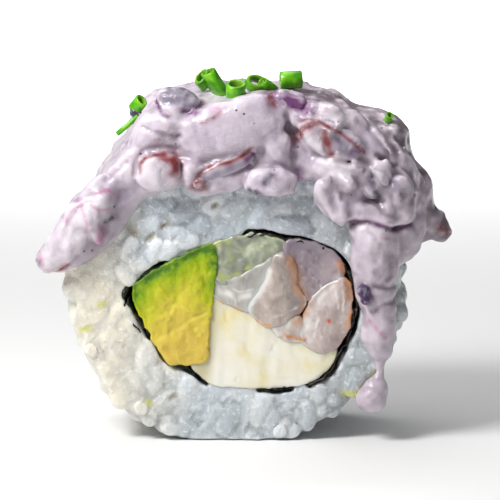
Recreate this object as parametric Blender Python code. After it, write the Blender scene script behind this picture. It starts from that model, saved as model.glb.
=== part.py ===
"""A slice of uramaki roll under a thick octopus cream, standing on its round side.

Built at real size. Lengths here are in millimetres and become metres when a mesh is made.
+X is to the right of the cut face that is seen first, +Y goes into the roll from that face,
+Z is up. The origin is the middle of the flat that the roll rests on.
"""

import math
import random

import bmesh
import bpy
import numpy as np
from mathutils import Matrix, Vector
from mathutils.bvhtree import BVHTree

MM = 0.001

# Rice: an oval core with whole grains pressed into it
ROLL_LENGTH = 24.0
CENTRE_Z = 21.3
CORE_EDGE_ROUNDING = 1.2
GRAIN_LENGTH = 6.0
GRAIN_WIDTH = 2.8
GRAIN_THICKNESS = 2.4
GRAIN_SIDES = 5
GRAIN_SEED = 11
SIDE_SPACING = 4.2
FACE_SPACING = 3.3
SIDE_GRAIN_SINK = 0.1
FACE_GRAIN_SINK = 0.5

# Seaweed sheet rolled round the filling, with its end lapping over its start
NORI_THICKNESS = 0.7
NORI_LAP = 0.07
NORI_LAP_START = 0.93
GAP = 0.3
FACE_Y = ROLL_LENGTH / 2
LONG_CUT = 2 * ROLL_LENGTH

# Topping
CREAM_HALF_LENGTH = 14.6
CREAM_SQUARENESS = 2.7
CREAM_LIP = 2.2
CREAM_START = 9.0
CREAM_END = 168.0
CREAM_VOXEL = 0.75
CREAM_TRIANGLES = 1600
CHIVE_RADIUS = 1.8
CHIVE_WALL = 0.55
CHIVE_SIDES = 6

# Outlines on the cut face, as (x, z) points joined by a smooth closed curve
CORE_OUTLINE = (
    (25.0, 22.0), (24.5, 27.5), (22.2, 33.0), (18.0, 38.0), (12.0, 41.4), (4.0, 43.0), (-4.0, 43.0),
    (-12.0, 41.0), (-18.5, 37.0), (-23.0, 31.5), (-25.2, 25.5), (-24.6, 19.0), (-23.0, 14.2),
    (-19.9, 8.6), (-15.6, 4.4), (-11.0, 1.8), (-6.0, -0.4), (1.0, -0.7), (7.0, 0.9), (13.0, 3.7),
    (18.8, 8.1), (22.6, 13.4), (24.6, 18.0),
)
NORI_PATH = (
    (-16.1, 22.2), (-15.0, 19.4), (-12.2, 15.0), (-10.0, 12.3), (-7.4, 11.4), (-4.0, 8.9), (0.0, 8.2),
    (6.0, 8.1), (11.6, 9.0), (14.6, 11.0), (15.8, 13.4), (17.4, 16.4), (18.4, 20.0), (18.2, 23.4),
    (16.4, 27.8), (13.0, 30.3), (8.0, 31.5), (3.2, 32.4), (-3.5, 31.0), (-10.8, 27.7), (-14.7, 25.2),
)
AVOCADO = (
    (-17.2, 23.0), (-15.4, 18.0), (-12.4, 13.2), (-9.6, 11.6), (-6.6, 11.8), (-5.2, 13.2),
    (-4.6, 17.0), (-3.9, 22.0), (-3.2, 28.0), (-3.2, 31.6), (-8.0, 31.0), (-14.0, 28.4),
)
LETTUCE = (
    (-3.0, 32.8), (-2.8, 29.0), (-2.4, 25.8), (-1.2, 24.7), (1.6, 26.0), (3.8, 27.9), (5.6, 28.9),
    (7.4, 29.3), (8.0, 30.4), (7.6, 32.8), (2.5, 34.0),
)
SHRIMPS = {
    "shrimp_left": (
        (-3.2, 23.8), (-2.6, 22.7), (-0.5, 21.7), (2.0, 20.9), (2.9, 22.0), (4.2, 25.4),
        (5.2, 28.0), (2.4, 26.4), (-0.8, 24.8),
    ),
    "shrimp_middle": (
        (2.4, 21.0), (3.6, 19.2), (5.4, 18.4), (7.4, 19.2), (9.8, 21.4), (10.0, 23.0),
        (8.5, 24.6), (8.4, 27.4), (7.4, 29.6), (5.4, 28.4), (4.0, 24.6),
    ),
    "shrimp_upper": (
        (8.0, 33.0), (8.4, 28.4), (9.4, 25.4), (9.9, 23.6), (11.2, 22.6), (13.6, 24.1), (16.2, 25.2),
        (18.6, 26.6), (16.0, 31.0), (12.0, 33.0),
    ),
    "shrimp_lower": (
        (18.6, 25.6), (15.8, 24.7), (13.8, 23.5), (11.6, 21.6), (10.4, 18.4), (10.9, 15.9), (13.0, 14.2),
        (15.2, 14.2), (17.0, 15.2), (19.2, 19.0), (19.4, 23.6),
    ),
    "shrimp_small": (
        (5.6, 18.1), (6.6, 16.9), (8.4, 16.1), (10.2, 16.2), (10.8, 18.0), (10.4, 20.8), (8.4, 19.3), (6.9, 18.8),
    ),
}
CHEESE = (
    (-4.6, 24.4), (-5.6, 12.0), (-6.4, 9.0), (-2.0, 7.4), (6.0, 7.0), (13.0, 8.0), (17.0, 12.0),
    (17.4, 16.0), (12.6, 18.0), (9.4, 19.4), (4.5, 20.6), (-0.6, 22.6),
)

# How far the cream reaches from the roll's centre at each angle, in degrees from +X
CREAM_OUTSIDE = (
    (6, 26.2), (14, 28.8), (22, 31.8), (30, 34.0), (40, 35.6), (50, 36.2), (60, 35.4), (70, 34.5),
    (80, 34.0), (90, 33.8), (100, 33.9), (108, 34.0), (115, 33.2), (122, 31.8), (130, 30.4),
    (140, 29.2), (150, 28.7), (160, 28.0), (168, 26.6),
)
CREAM_FRONT_EDGE = (
    (6, 22.5), (14, 20.5), (22, 18.6), (30, 19.0), (40, 20.6), (50, 19.2), (60, 20.6), (68, 20.4),
    (78, 18.0), (90, 18.6), (108, 18.8), (122, 20.4), (132, 21.0), (142, 20.6), (154, 20.0), (168, 23.0),
)
CREAM_BACK_EDGE = (
    (6, 22.5), (20, 20.0), (35, 17.6), (50, 20.4), (65, 18.6), (80, 16.6), (95, 19.6),
    (112, 18.0), (128, 16.2), (142, 19.4), (156, 21.0), (168, 23.0),
)
# Lumps of topping: centre, radii, and tilt about Y in degrees
CREAM_LUMPS = (
    ((-22.4, -10.6, 33.6), (8.8, 4.2, 3.7), 38),
    ((-28.2, -9.8, 28.6), (3.0, 3.0, 2.5), 30),
    ((-23.0, 1.0, 33.4), (3.4, 8.0, 4.2), 30),
    ((-10.4, -8.0, 51.0), (4.0, 3.6, 3.4), 0),
    ((-12.0, -12.6, 42.6), (4.4, 3.6, 3.3), 0),
    ((-12.0, 3.0, 51.2), (4.6, 6.0, 3.4), 25),
    ((-2.5, -13.2, 43.4), (6.0, 3.0, 2.4), 28),
    ((4.9, -13.2, 41.8), (4.0, 3.2, 2.8), -10),
    ((-1.5, -10.6, 49.0), (8.6, 4.6, 4.8), 10),
    ((8.6, -13.2, 47.0), (2.8, 2.8, 2.3), 0),
    ((14.0, -12.6, 48.2), (5.4, 3.8, 3.5), -20),
    ((19.4, -12.6, 39.8), (7.0, 4.2, 5.6), 0),
    ((22.8, -4.0, 46.6), (4.6, 7.0, 4.0), -40),
    ((27.4, -4.4, 36.6), (3.8, 6.4, 5.4), 0),
    ((24.4, -6.4, 30.4), (4.2, 6.4, 3.8), 20),
    ((11.0, 4.0, 52.4), (5.0, 5.0, 3.0), -14),
    ((-6.0, 9.5, 50.6), (5.0, 4.6, 3.6), 10),
    ((18.0, 11.5, 44.0), (5.4, 4.0, 4.2), -30),
    ((3.0, 12.8, 42.5), (4.6, 3.4, 3.4), 0),
    ((-16.5, 11.4, 42.0), (4.8, 4.0, 4.0), 40),
    ((-8.0, 13.0, 38.4), (3.4, 2.6, 3.8), 0),
)
# The long drip down the right of the face, and a short one behind, as (x, y, z, radius)
FRONT_DRIP = (
    (21.0, -13.0, 33.5, 4.2), (21.8, -13.2, 28.6, 4.1), (22.3, -13.2, 23.6, 3.7), (22.4, -13.1, 19.6, 3.1),
    (22.5, -13.0, 16.2, 2.4), (22.3, -13.0, 13.6, 1.7), (22.2, -13.0, 11.6, 1.1), (22.0, -13.0, 9.6, 1.2),
    (21.4, -13.0, 7.5, 2.2),
)
BACK_DRIP = (
    (-17.0, 13.2, 35.0, 3.2), (-17.6, 13.3, 31.0, 2.6), (-17.9, 13.3, 27.4, 2.0), (-17.8, 13.3, 24.4, 2.3),
)
SPIKE = ((28.2, -5.0, 34.8, 3.2), (30.4, -5.2, 33.6, 2.3), (32.0, -5.3, 32.8, 1.7), (32.9, -5.4, 32.2, 1.1))
DRIP_STEPS = 4

# Octopus slices that show in the cream: centre, radii, tilt about Y, and lean about X, in degrees
OCTOPUS = {
    "octopus_top_left": ((-9.0, -10.2, 52.2), (2.8, 2.4, 2.3), 10, 0),
    "octopus_left": ((-11.8, -15.3, 43.3), (3.2, 1.5, 2.6), 5, 15),
    "octopus_middle": ((-1.9, -15.5, 43.0), (4.7, 1.3, 1.3), 30, 0),
    "octopus_low": ((4.7, -15.5, 41.4), (3.1, 1.4, 1.8), -6, -10),
    "octopus_right": ((13.6, -15.4, 47.9), (4.2, 1.7, 2.6), -20, 15),
    "octopus_top_right": ((8.4, -10.4, 53.2), (2.6, 1.9, 1.5), -12, 0),
    "octopus_side": ((21.6, -15.7, 41.6), (2.4, 1.5, 2.9), 10, 5),
    "octopus_back": ((-5.0, 13.6, 49.8), (3.4, 1.8, 2.4), 10, -20),
}
OCTOPUS_AROUND = 10
OCTOPUS_UP = 5
OCTOPUS_SQUARENESS = 2.6

# Chive rings: place from above (x, y), direction of the bore (turn from +X, rise), length, how far sunk
CHIVES = (
    (-4.4, -6.4, 75, 30, 3.2, 1.4), (0.0, -11.2, 20, 76, 3.4, 1.3), (4.2, -6.4, 60, 35, 2.4, 1.2),
    (8.8, -5.6, 8, 4, 3.5, 1.5), (-15.6, -6.0, 100, 40, 2.6, 1.4), (24.2, -8.6, 60, 10, 1.6, 1.2),
    (1.6, 5.6, 140, 15, 3.2, 1.0), (-8.4, 4.6, 25, 10, 2.6, 1.0), (13.6, 6.4, 110, 12, 3.0, 1.0),
)


def new_object(name, points, faces, look=None):
    """A named mesh object from points in millimetres, with its faces turned outwards."""
    mesh = bpy.data.meshes.new(name)
    mesh.from_pydata([tuple(p) for p in np.asarray(points, float) * MM], [], faces)
    form = bmesh.new()
    form.from_mesh(mesh)
    bmesh.ops.recalc_face_normals(form, faces=form.faces)
    form.to_mesh(mesh)
    form.free()
    obj = bpy.data.objects.new(name, mesh)
    bpy.context.scene.collection.objects.link(obj)
    if look:
        mesh.materials.append(look)
    return obj


def material(name, colour, roughness):
    """A plain finish in the food's own colour."""
    made = bpy.data.materials.new(name)
    made.use_nodes = True
    shader = made.node_tree.nodes["Principled BSDF"]
    shader.inputs["Base Color"].default_value = (*colour, 1.0)
    shader.inputs["Roughness"].default_value = roughness
    shader.inputs["Metallic"].default_value = 0.0
    return made


def as_cutter(obj):
    """Marks an object as a tool for cutting, which isn't part of the food."""
    obj.hide_render = True
    obj.display_type = "WIRE"
    return obj


def combine(obj, operation, other, solver="EXACT"):
    """Adds a Boolean with an object or a collection, applies it and returns the object."""
    boolean = obj.modifiers.new(operation.title(), "BOOLEAN")
    boolean.operation = operation
    boolean.solver = solver
    if isinstance(other, bpy.types.Collection):
        boolean.operand_type = "COLLECTION"
        boolean.collection = other
    else:
        boolean.object = other
    return apply_modifiers(obj)


def apply_modifiers(obj):
    """Puts the evaluated shape in place of the object's mesh."""
    graph = bpy.context.evaluated_depsgraph_get()
    graph.update()
    shape = bpy.data.meshes.new_from_object(obj.evaluated_get(graph))
    obj.modifiers.clear()
    obj.data = shape
    return obj


def remove(objects):
    for obj in list(objects):
        bpy.data.objects.remove(obj)


def closed_curve(points, count):
    """Even points along the smooth closed curve (Catmull-Rom) through the given points."""
    knots = np.array(points, float)
    along = np.linspace(0, len(knots), 40 * len(knots), endpoint=False)
    first = along.astype(int)
    f = (along - first)[:, None]
    p0, p1, p2, p3 = (knots[(first + k) % len(knots)] for k in (-1, 0, 1, 2))
    dense = 0.5 * (2 * p1 + (p2 - p0) * f + (2 * p0 - 5 * p1 + 4 * p2 - p3) * f**2
                   + (3 * p1 - p0 - 3 * p2 + p3) * f**3)
    closed = np.vstack([dense, dense[:1]])
    length = np.concatenate([[0], np.cumsum(np.linalg.norm(np.diff(closed, axis=0), axis=1))])
    wanted = np.linspace(0, length[-1], count, endpoint=False)
    return np.column_stack([np.interp(wanted, length, closed[:, k]) for k in (0, 1)])


def normals_of(outline):
    """Outward directions along a counter-clockwise outline."""
    tangent = np.roll(outline, -1, 0) - np.roll(outline, 1, 0)
    tangent /= np.linalg.norm(tangent, axis=1)[:, None]
    return np.column_stack([tangent[:, 1], -tangent[:, 0]])


def grown(outline, distance):
    return outline + distance * normals_of(outline)


def inside(outline, x, z):
    """True when the point is within the closed outline: an odd number of its sides pass to the right."""
    start, end = outline, np.roll(outline, -1, 0)
    rises = (start[:, 1] > z) != (end[:, 1] > z)
    start, end = start[rises], end[rises]
    crossing = start[:, 0] + (end[:, 0] - start[:, 0]) * (z - start[:, 1]) / (end[:, 1] - start[:, 1])
    return int((crossing > x).sum()) % 2 == 1


def carried(name, outline, sections, look=None):
    """A closed solid: the outline carried along Y. Each section is (y, growth of the outline)."""
    count = len(outline)
    points, faces = [], []
    for y, growth in sections:
        ring = grown(outline, growth)
        points += [(x, y, z) for x, z in ring]
    for s in range(len(sections) - 1):
        for i in range(count):
            j = (i + 1) % count
            faces.append((s * count + i, s * count + j, (s + 1) * count + j, (s + 1) * count + i))
    last = (len(sections) - 1) * count
    faces.append(tuple(range(count)))
    faces.append(tuple(range(last + count - 1, last - 1, -1)))
    return new_object(name, points, faces, look)


def straight(half_length):
    return ((-half_length, 0.0), (half_length, 0.0))


def soft_ends(half_length, rounding):
    """Sections of a filling whose cut ends are slightly eased."""
    return (
        (-half_length, -0.6 * rounding), (-half_length + 0.7 * rounding, 0.0),
        (half_length - 0.7 * rounding, 0.0), (half_length, -0.6 * rounding),
    )


def egg(centre, radii, turn=Matrix.Identity(3), around=12, up=6, squareness=2.0, name="egg", look=None):
    """A closed superellipsoid: latitude rings between two poles, turned and moved to its centre."""
    power = 2.0 / squareness
    points = [(0, 0, -1)]
    for k in range(1, up):
        tilt = math.pi * k / up - math.pi / 2
        for a in range(around):
            angle = 2 * math.pi * a / around
            c, s = math.cos(angle), math.sin(angle)
            ring = abs(math.cos(tilt)) ** power
            points.append((
                ring * math.copysign(abs(c) ** power, c),
                ring * math.copysign(abs(s) ** power, s),
                math.copysign(abs(math.sin(tilt)) ** power, tilt),
            ))
    points.append((0, 0, 1))
    top = len(points) - 1
    faces = []
    for a in range(around):
        b = (a + 1) % around
        faces.append((0, 1 + b, 1 + a))
        for k in range(up - 2):
            low, high = 1 + k * around, 1 + (k + 1) * around
            faces.append((low + a, low + b, high + b, high + a))
        faces.append((top, top - around + a, top - around + b))
    placed = [turn @ Vector((x * radii[0], y * radii[1], z * radii[2])) + Vector(centre) for x, y, z in points]
    return new_object(name, placed, faces, look)


def tilt_about_y(degrees):
    """A turn that lifts the +X end when degrees is positive."""
    return Matrix.Rotation(math.radians(-degrees), 3, "Y")


def union_all(name, objects, look, solver="MANIFOLD"):
    """Joins overlapping solids into one: the first with a collection of the others."""
    first, rest = objects[0], objects[1:]
    group = bpy.data.collections.new(name + "_pieces")
    bpy.context.scene.collection.children.link(group)
    for obj in rest:
        group.objects.link(obj)
    combine(first, "UNION", group, solver)
    remove(rest)
    bpy.data.collections.remove(group)
    first.name = name
    first.data.name = name
    first.data.materials.clear()
    first.data.materials.append(look)
    return first


def largest_piece(obj):
    """Drops loose scraps, keeping the body with the most faces."""
    form = bmesh.new()
    form.from_mesh(obj.data)
    left = set(form.faces)
    groups = []
    while left:
        group, edge = set(), [left.pop()]
        while edge:
            face = edge.pop()
            group.add(face)
            for link in face.edges:
                for near in link.link_faces:
                    if near in left:
                        left.discard(near)
                        edge.append(near)
        groups.append(group)
    groups.sort(key=len, reverse=True)
    scraps = [face for group in groups[1:] for face in group]
    bmesh.ops.delete(form, geom=scraps, context="FACES")
    loose = [v for v in form.verts if not v.link_faces]
    bmesh.ops.delete(form, geom=loose, context="VERTS")
    form.to_mesh(obj.data)
    form.free()
    return obj


def profile(table, degrees):
    """A smooth value between the (angle, value) pairs of a table."""
    angles, values = np.array(table, float).T
    near = np.interp(degrees, angles, values)
    return (near + np.interp(degrees - 3, angles, values) + np.interp(degrees + 3, angles, values)) / 3


def cream_blanket():
    """The cream laid over the roll: a superellipse section carried round the roll's upper side."""
    steps, around = 72, 28
    angles = np.linspace(CREAM_START, CREAM_END, steps)
    outside = profile(CREAM_OUTSIDE, angles)
    front = profile(CREAM_FRONT_EDGE, angles)
    back = profile(CREAM_BACK_EDGE, angles)
    fade = np.sqrt(np.clip(np.minimum(angles - CREAM_START + 2, CREAM_END + 2 - angles) / 9.0, 0.05, 1.0))
    turn = np.linspace(0, 2 * math.pi, around, endpoint=False)
    power = 2.0 / CREAM_SQUARENESS
    across = np.sign(np.cos(turn)) * np.abs(np.cos(turn)) ** power
    rise = np.sign(np.sin(turn)) * np.abs(np.sin(turn)) ** power
    points = []
    for k, degrees in enumerate(angles):
        edge = front[k] + (back[k] - front[k]) * (across + 1) / 2
        middle = edge + CREAM_LIP
        reach = np.where(rise > 0, outside[k] - middle, CREAM_LIP)
        level = fade[k]
        r = middle + rise * reach * level
        y = across * CREAM_HALF_LENGTH * (0.55 + 0.45 * level)
        c, s = math.cos(math.radians(degrees)), math.sin(math.radians(degrees))
        points += [(r[i] * c, y[i], CENTRE_Z + r[i] * s) for i in range(around)]
    faces = []
    for k in range(steps - 1):
        for i in range(around):
            j = (i + 1) % around
            faces.append((k * around + i, k * around + j, (k + 1) * around + j, (k + 1) * around + i))
    faces.append(tuple(range(around)))
    faces.append(tuple(range((steps - 1) * around, steps * around)))
    return new_object("cream_blanket", points, faces)


def beads(path):
    """Balls along a path of (x, y, z, radius), close enough to run together."""
    path = np.array(path, float)
    made = []
    for a, b in zip(path, path[1:]):
        for step in range(DRIP_STEPS):
            x, y, z, r = a + (b - a) * step / DRIP_STEPS
            made.append(egg((x, y, z), (r, r, r), around=14, up=8))
    x, y, z, r = path[-1]
    made.append(egg((x, y, z), (r, r, r * 1.12), around=14, up=8))
    return made


def chive(surface, x, y, turn, rise, length, sink):
    """A short hollow tube that lies on the cream below its place, sunk a little into it."""
    start = Vector((x, y, 80.0)) * MM
    hit, _, _, _ = surface.ray_cast(start, Vector((0, 0, -1)))
    axis = Matrix.Rotation(math.radians(turn), 3, "Z") @ Matrix.Rotation(math.radians(-rise), 3, "Y") @ Vector((1, 0, 0))
    side = axis.orthogonal().normalized()
    other = axis.cross(side)
    reach = CHIVE_RADIUS * math.cos(math.radians(rise)) + length / 2 * math.sin(math.radians(rise))
    centre = hit / MM + Vector((0, 0, reach - sink))
    points, faces = [], []
    for end in (-0.5, 0.5):
        for radius in (CHIVE_RADIUS, CHIVE_RADIUS - CHIVE_WALL):
            for k in range(CHIVE_SIDES):
                a = 2 * math.pi * k / CHIVE_SIDES
                points.append(centre + axis * length * end + (side * math.cos(a) + other * math.sin(a)) * radius)
    n = CHIVE_SIDES
    for k in range(n):
        j = (k + 1) % n
        faces += [
            (k, j, 2 * n + j, 2 * n + k), (n + k, n + j, 3 * n + j, 3 * n + k),
            (k, j, n + j, n + k), (2 * n + k, 2 * n + j, 3 * n + j, 3 * n + k),
        ]
    return new_object("chive", points, faces)


def joined(objects, name):
    """Puts several meshes into one object, for a modifier that reads them together."""
    form = bmesh.new()
    for obj in objects:
        form.from_mesh(obj.data)
    mesh = bpy.data.meshes.new(name)
    form.to_mesh(mesh)
    form.free()
    remove(objects)
    obj = bpy.data.objects.new(name, mesh)
    bpy.context.scene.collection.objects.link(obj)
    return obj


def cream(look, octopus_look):
    """The cream with its lumps, drips and chives, cut to fit the roll and the octopus slices."""
    parts = [cream_blanket()]
    parts += [egg(centre, radii, tilt_about_y(tilt), 16, 10) for centre, radii, tilt in CREAM_LUMPS]
    parts += beads(FRONT_DRIP) + beads(BACK_DRIP) + beads(SPIKE)
    body = joined(parts, "cream")

    remesh = body.modifiers.new("Remesh", "REMESH")
    remesh.mode = "VOXEL"
    remesh.voxel_size = CREAM_VOXEL * MM
    smooth = body.modifiers.new("Smooth", "SMOOTH")
    smooth.factor = 0.5
    smooth.iterations = 3
    apply_modifiers(body)
    body.data.calc_loop_triangles()
    fewer = body.modifiers.new("Decimate", "DECIMATE")
    fewer.ratio = CREAM_TRIANGLES / len(body.data.loop_triangles)
    apply_modifiers(body)

    core = closed_curve(CORE_OUTLINE, 56)
    roll = as_cutter(carried("roll_room", grown(core, GAP), straight(FACE_Y + GAP)))
    combine(body, "DIFFERENCE", roll)
    largest_piece(body)
    remove([roll])
    for name, (centre, radii, tilt, lean) in OCTOPUS.items():
        turn = tilt_about_y(tilt) @ Matrix.Rotation(math.radians(lean), 3, "X")
        room = as_cutter(egg(centre, [r + GAP for r in radii], turn, OCTOPUS_AROUND, OCTOPUS_UP, OCTOPUS_SQUARENESS))
        combine(body, "DIFFERENCE", room)
        remove([room])
        egg(centre, radii, turn, OCTOPUS_AROUND, OCTOPUS_UP, OCTOPUS_SQUARENESS, name, octopus_look)
    largest_piece(body)

    surface = BVHTree.FromObject(body, bpy.context.evaluated_depsgraph_get())
    rings = [chive(surface, *place) for place in CHIVES]
    return union_all("cream", [body, *rings], look, "EXACT")


def grain(centre, along, out, size, sides=GRAIN_SIDES):
    """Points and faces of one grain: a blunt spindle with a few sides, along its length."""
    along = along.normalized()
    out = (out - along * out.dot(along)).normalized()
    side = along.cross(out)
    half = GRAIN_LENGTH * size / 2
    points = [centre - along * half]
    for place, girth in ((-0.6, 0.72), (0.0, 1.0), (0.6, 0.76)):
        for k in range(sides):
            a = 2 * math.pi * k / sides
            points.append(
                centre + along * half * place
                + side * math.cos(a) * girth * size * GRAIN_WIDTH / 2
                + out * math.sin(a) * girth * size * GRAIN_THICKNESS / 2
            )
    points.append(centre + along * half)
    faces = []
    for k in range(sides):
        j = (k + 1) % sides
        faces += [(0, 1 + j, 1 + k), (1 + 3 * sides, 1 + 2 * sides + k, 1 + 2 * sides + j)]
        for ring in (0, 1):
            low, high = 1 + ring * sides, 1 + (ring + 1) * sides
            faces.append((low + k, low + j, high + j, high + k))
    return points, faces


def within(surface, at):
    """True when an upward ray from the point leaves the surface an odd number of times."""
    crossings = 0
    hit = surface.ray_cast(at, Vector((0, 0, 1)))[0]
    while hit:
        crossings += 1
        hit = surface.ray_cast(hit + Vector((0, 0, 0.001 * MM)), Vector((0, 0, 1)))[0]
    return crossings % 2 == 1


def clear_of(surface, points, distance):
    """True when every point is outside the surface by at least this distance."""
    for point in points:
        at = Vector(point) * MM
        if surface.find_nearest(at)[3] < distance * MM or within(surface, at):
            return False
    return True


def side_places(rng):
    """Places all round the core: (point, outward direction, a direction along the surface)."""
    outline = closed_curve(CORE_OUTLINE, 720)
    steps = np.linalg.norm(np.roll(outline, -1, 0) - outline, axis=1)
    length = np.concatenate([[0], np.cumsum(steps)])
    rows = int(ROLL_LENGTH / SIDE_SPACING)
    per_row = int(length[-1] / (SIDE_SPACING * 1.06))
    normals = normals_of(outline)
    for row in range(rows):
        y = -FACE_Y + ROLL_LENGTH * (row + 0.5) / rows
        for k in range(per_row):
            shift = (row % 2) / 2 + rng.uniform(-0.22, 0.22)
            at = ((k + shift) % per_row) / per_row * length[-1]
            i = int(np.searchsorted(length, at) - 1) % len(outline)
            out = Vector((normals[i][0], 0, normals[i][1]))
            tangent = Vector((-out.z, 0, out.x))
            place = Vector((outline[i][0], y + rng.uniform(-0.7, 0.7), outline[i][1]))
            yield place, out, tangent


def face_places(rng, hole):
    """Places on both cut faces, between the hole for the filling and the roll's edge."""
    outline = closed_curve(CORE_OUTLINE, 120)
    edge, kept_out = grown(outline, -1.4), grown(hole, 0.7)
    low, high = outline.min(0), outline.max(0)
    for end in (-1, 1):
        rows = int((high[1] - low[1]) / (FACE_SPACING * 0.87))
        columns = int((high[0] - low[0]) / FACE_SPACING)
        for row in range(rows):
            for k in range(columns):
                x = low[0] + (high[0] - low[0]) * (k + 0.25 + (row % 2) / 2) / columns + rng.uniform(-0.7, 0.7)
                z = low[1] + (high[1] - low[1]) * (row + 0.5) / rows + rng.uniform(-0.6, 0.6)
                if inside(edge, x, z) and not inside(kept_out, x, z):
                    yield Vector((x, end * FACE_Y, z)), Vector((0, end, 0)), Vector((1, 0, 0))


def rice(look, nori_outside, toppings):
    """An oval core with whole grains fused on, bored for the filling and cut flat underneath."""
    rng = random.Random(GRAIN_SEED)
    half = FACE_Y
    core = carried("rice", closed_curve(CORE_OUTLINE, 56), (
        (-half, -CORE_EDGE_ROUNDING), (-half + CORE_EDGE_ROUNDING, 0.0),
        (half - CORE_EDGE_ROUNDING, 0.0), (half, -CORE_EDGE_ROUNDING),
    ))
    hole = grown(nori_outside, GAP)
    pieces = [core]
    for places, sink in ((side_places(rng), SIDE_GRAIN_SINK), (face_places(rng, hole), FACE_GRAIN_SINK)):
        for place, out, tangent in places:
            across = out.cross(tangent)
            angle = rng.uniform(0, math.pi)
            along = tangent * math.cos(angle) + across * math.sin(angle) + out * rng.uniform(-0.18, 0.18)
            size = rng.uniform(0.86, 1.08)
            centre = place - out * sink * rng.uniform(0.7, 1.3)
            points, faces = grain(centre, along, out, size)
            if all(clear_of(surface, points, 0.35) for surface in toppings):
                pieces.append(new_object("grain", points, faces))
    print("grains fused on:", len(pieces) - 1)
    body = union_all("rice", pieces, look)
    bore = as_cutter(carried("filling_room", hole, straight(LONG_CUT)))
    combine(body, "DIFFERENCE", bore)
    ground = as_cutter(carried(
        "ground", np.array([(-60, -40), (60, -40), (60, 0), (-60, 0)], float), straight(LONG_CUT)))
    combine(body, "DIFFERENCE", ground)
    remove([bore, ground])
    return largest_piece(body)


def eased(share):
    """0 to 1 with a soft start and end."""
    share = np.clip(share, 0, 1)
    return share * share * (3 - 2 * share)


def nori(look):
    """The seaweed strip, once round the filling, with its end lapping outside its start."""
    count = 64
    path = closed_curve(NORI_PATH, count)
    out = normals_of(path)
    lap = NORI_THICKNESS + GAP
    steps = int(count * (1 + NORI_LAP))
    outer, inner = [], []
    for k in range(1, steps + 1):
        shift = lap * eased((k / count - NORI_LAP_START) / 0.05)
        i = k % count
        outer.append(path[i] + out[i] * (shift + NORI_THICKNESS / 2))
        inner.append(path[i] + out[i] * (shift - NORI_THICKNESS / 2))
    strip = np.array(outer + inner[::-1])
    points = [(x, y, z) for y in (-FACE_Y + 0.1, FACE_Y - 0.1) for x, z in strip]
    total = len(strip)
    faces = []
    for i in range(total):
        j = (i + 1) % total
        faces.append((i, j, total + j, total + i))
    for k in range(steps - 1):
        far = total - 1 - k
        faces.append((k, k + 1, far - 1, far))
        faces.append((total + k, total + far, total + far - 1, total + k + 1))
    new_object("nori", points, faces, look)
    at = np.arange(count) / count
    swell = lap * np.maximum(eased((at - NORI_LAP_START + 0.015) / 0.05), eased((NORI_LAP + 0.035 - at) / 0.025))
    return path + out * (NORI_THICKNESS / 2 + swell)[:, None]


def filling(looks):
    """The avocado, cheese, shrimp and lettuce, each a strip that runs through the roll."""
    path = closed_curve(NORI_PATH, 64)
    room = as_cutter(carried("room", grown(path, -NORI_THICKNESS / 2 - GAP), straight(FACE_Y + 2)))
    strips = {"avocado": (AVOCADO, 30, 12.5, 0.8, "avocado")}
    for number, (name, outline) in enumerate(SHRIMPS.items()):
        strips[name] = (outline, 20, 12.3 + 0.1 * (number % 3), 0.8, "shrimp")
    strips["lettuce"] = (LETTUCE, 24, 12.2, 0.4, "lettuce")
    strips["cream_cheese"] = (CHEESE, 36, 12.1, 0.3, "cheese")
    taken = []
    for name, (outline, count, half, rounding, look) in strips.items():
        curve = closed_curve(outline, count)
        strip = carried(name, curve, soft_ends(half, rounding), looks[look])
        for clearance in taken:
            combine(strip, "DIFFERENCE", clearance)
        combine(strip, "INTERSECT", room)
        largest_piece(strip)
        taken.append(as_cutter(carried(name + "_room", grown(curve, GAP), straight(FACE_Y + 3))))
    remove([room, *taken])


def build():
    for obj in list(bpy.data.objects):
        bpy.data.objects.remove(obj)
    looks = {
        "avocado": material("avocado", (0.52, 0.56, 0.09), 0.45),
        "lettuce": material("lettuce", (0.50, 0.56, 0.38), 0.35),
        "shrimp": material("shrimp", (0.48, 0.38, 0.34), 0.3),
        "cheese": material("cream_cheese", (0.80, 0.77, 0.66), 0.5),
    }
    nori_outside = nori(material("nori", (0.01, 0.012, 0.008), 0.45))
    filling(looks)
    topping = cream(
        material("octopus_cream", (0.66, 0.57, 0.64), 0.35), material("octopus", (0.45, 0.30, 0.38), 0.35))
    surface = BVHTree.FromObject(topping, bpy.context.evaluated_depsgraph_get())
    rice(material("sushi_rice", (0.68, 0.70, 0.70), 0.35), nori_outside, [surface])


build()
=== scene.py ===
# %% [markdown]
# # A slice of uramaki roll under octopus cream
#
# Uramaki is a sushi roll made inside out: the rice is outside, and a thin sheet of seaweed inside it
# holds the filling. This slice stands on its round side, so the camera looks at the cut face. A thick
# pale mauve cream with slices of octopus lies over the top and runs down the front.
#
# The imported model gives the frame: where each piece is and how large. Every piece below is a finer
# form in the same place. All lengths in this file are worked out in millimetres, because food is
# easy to think of at that size, and become metres when a mesh is made.

import math

import bpy
import numpy as np
from mathutils import Matrix, Vector


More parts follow.
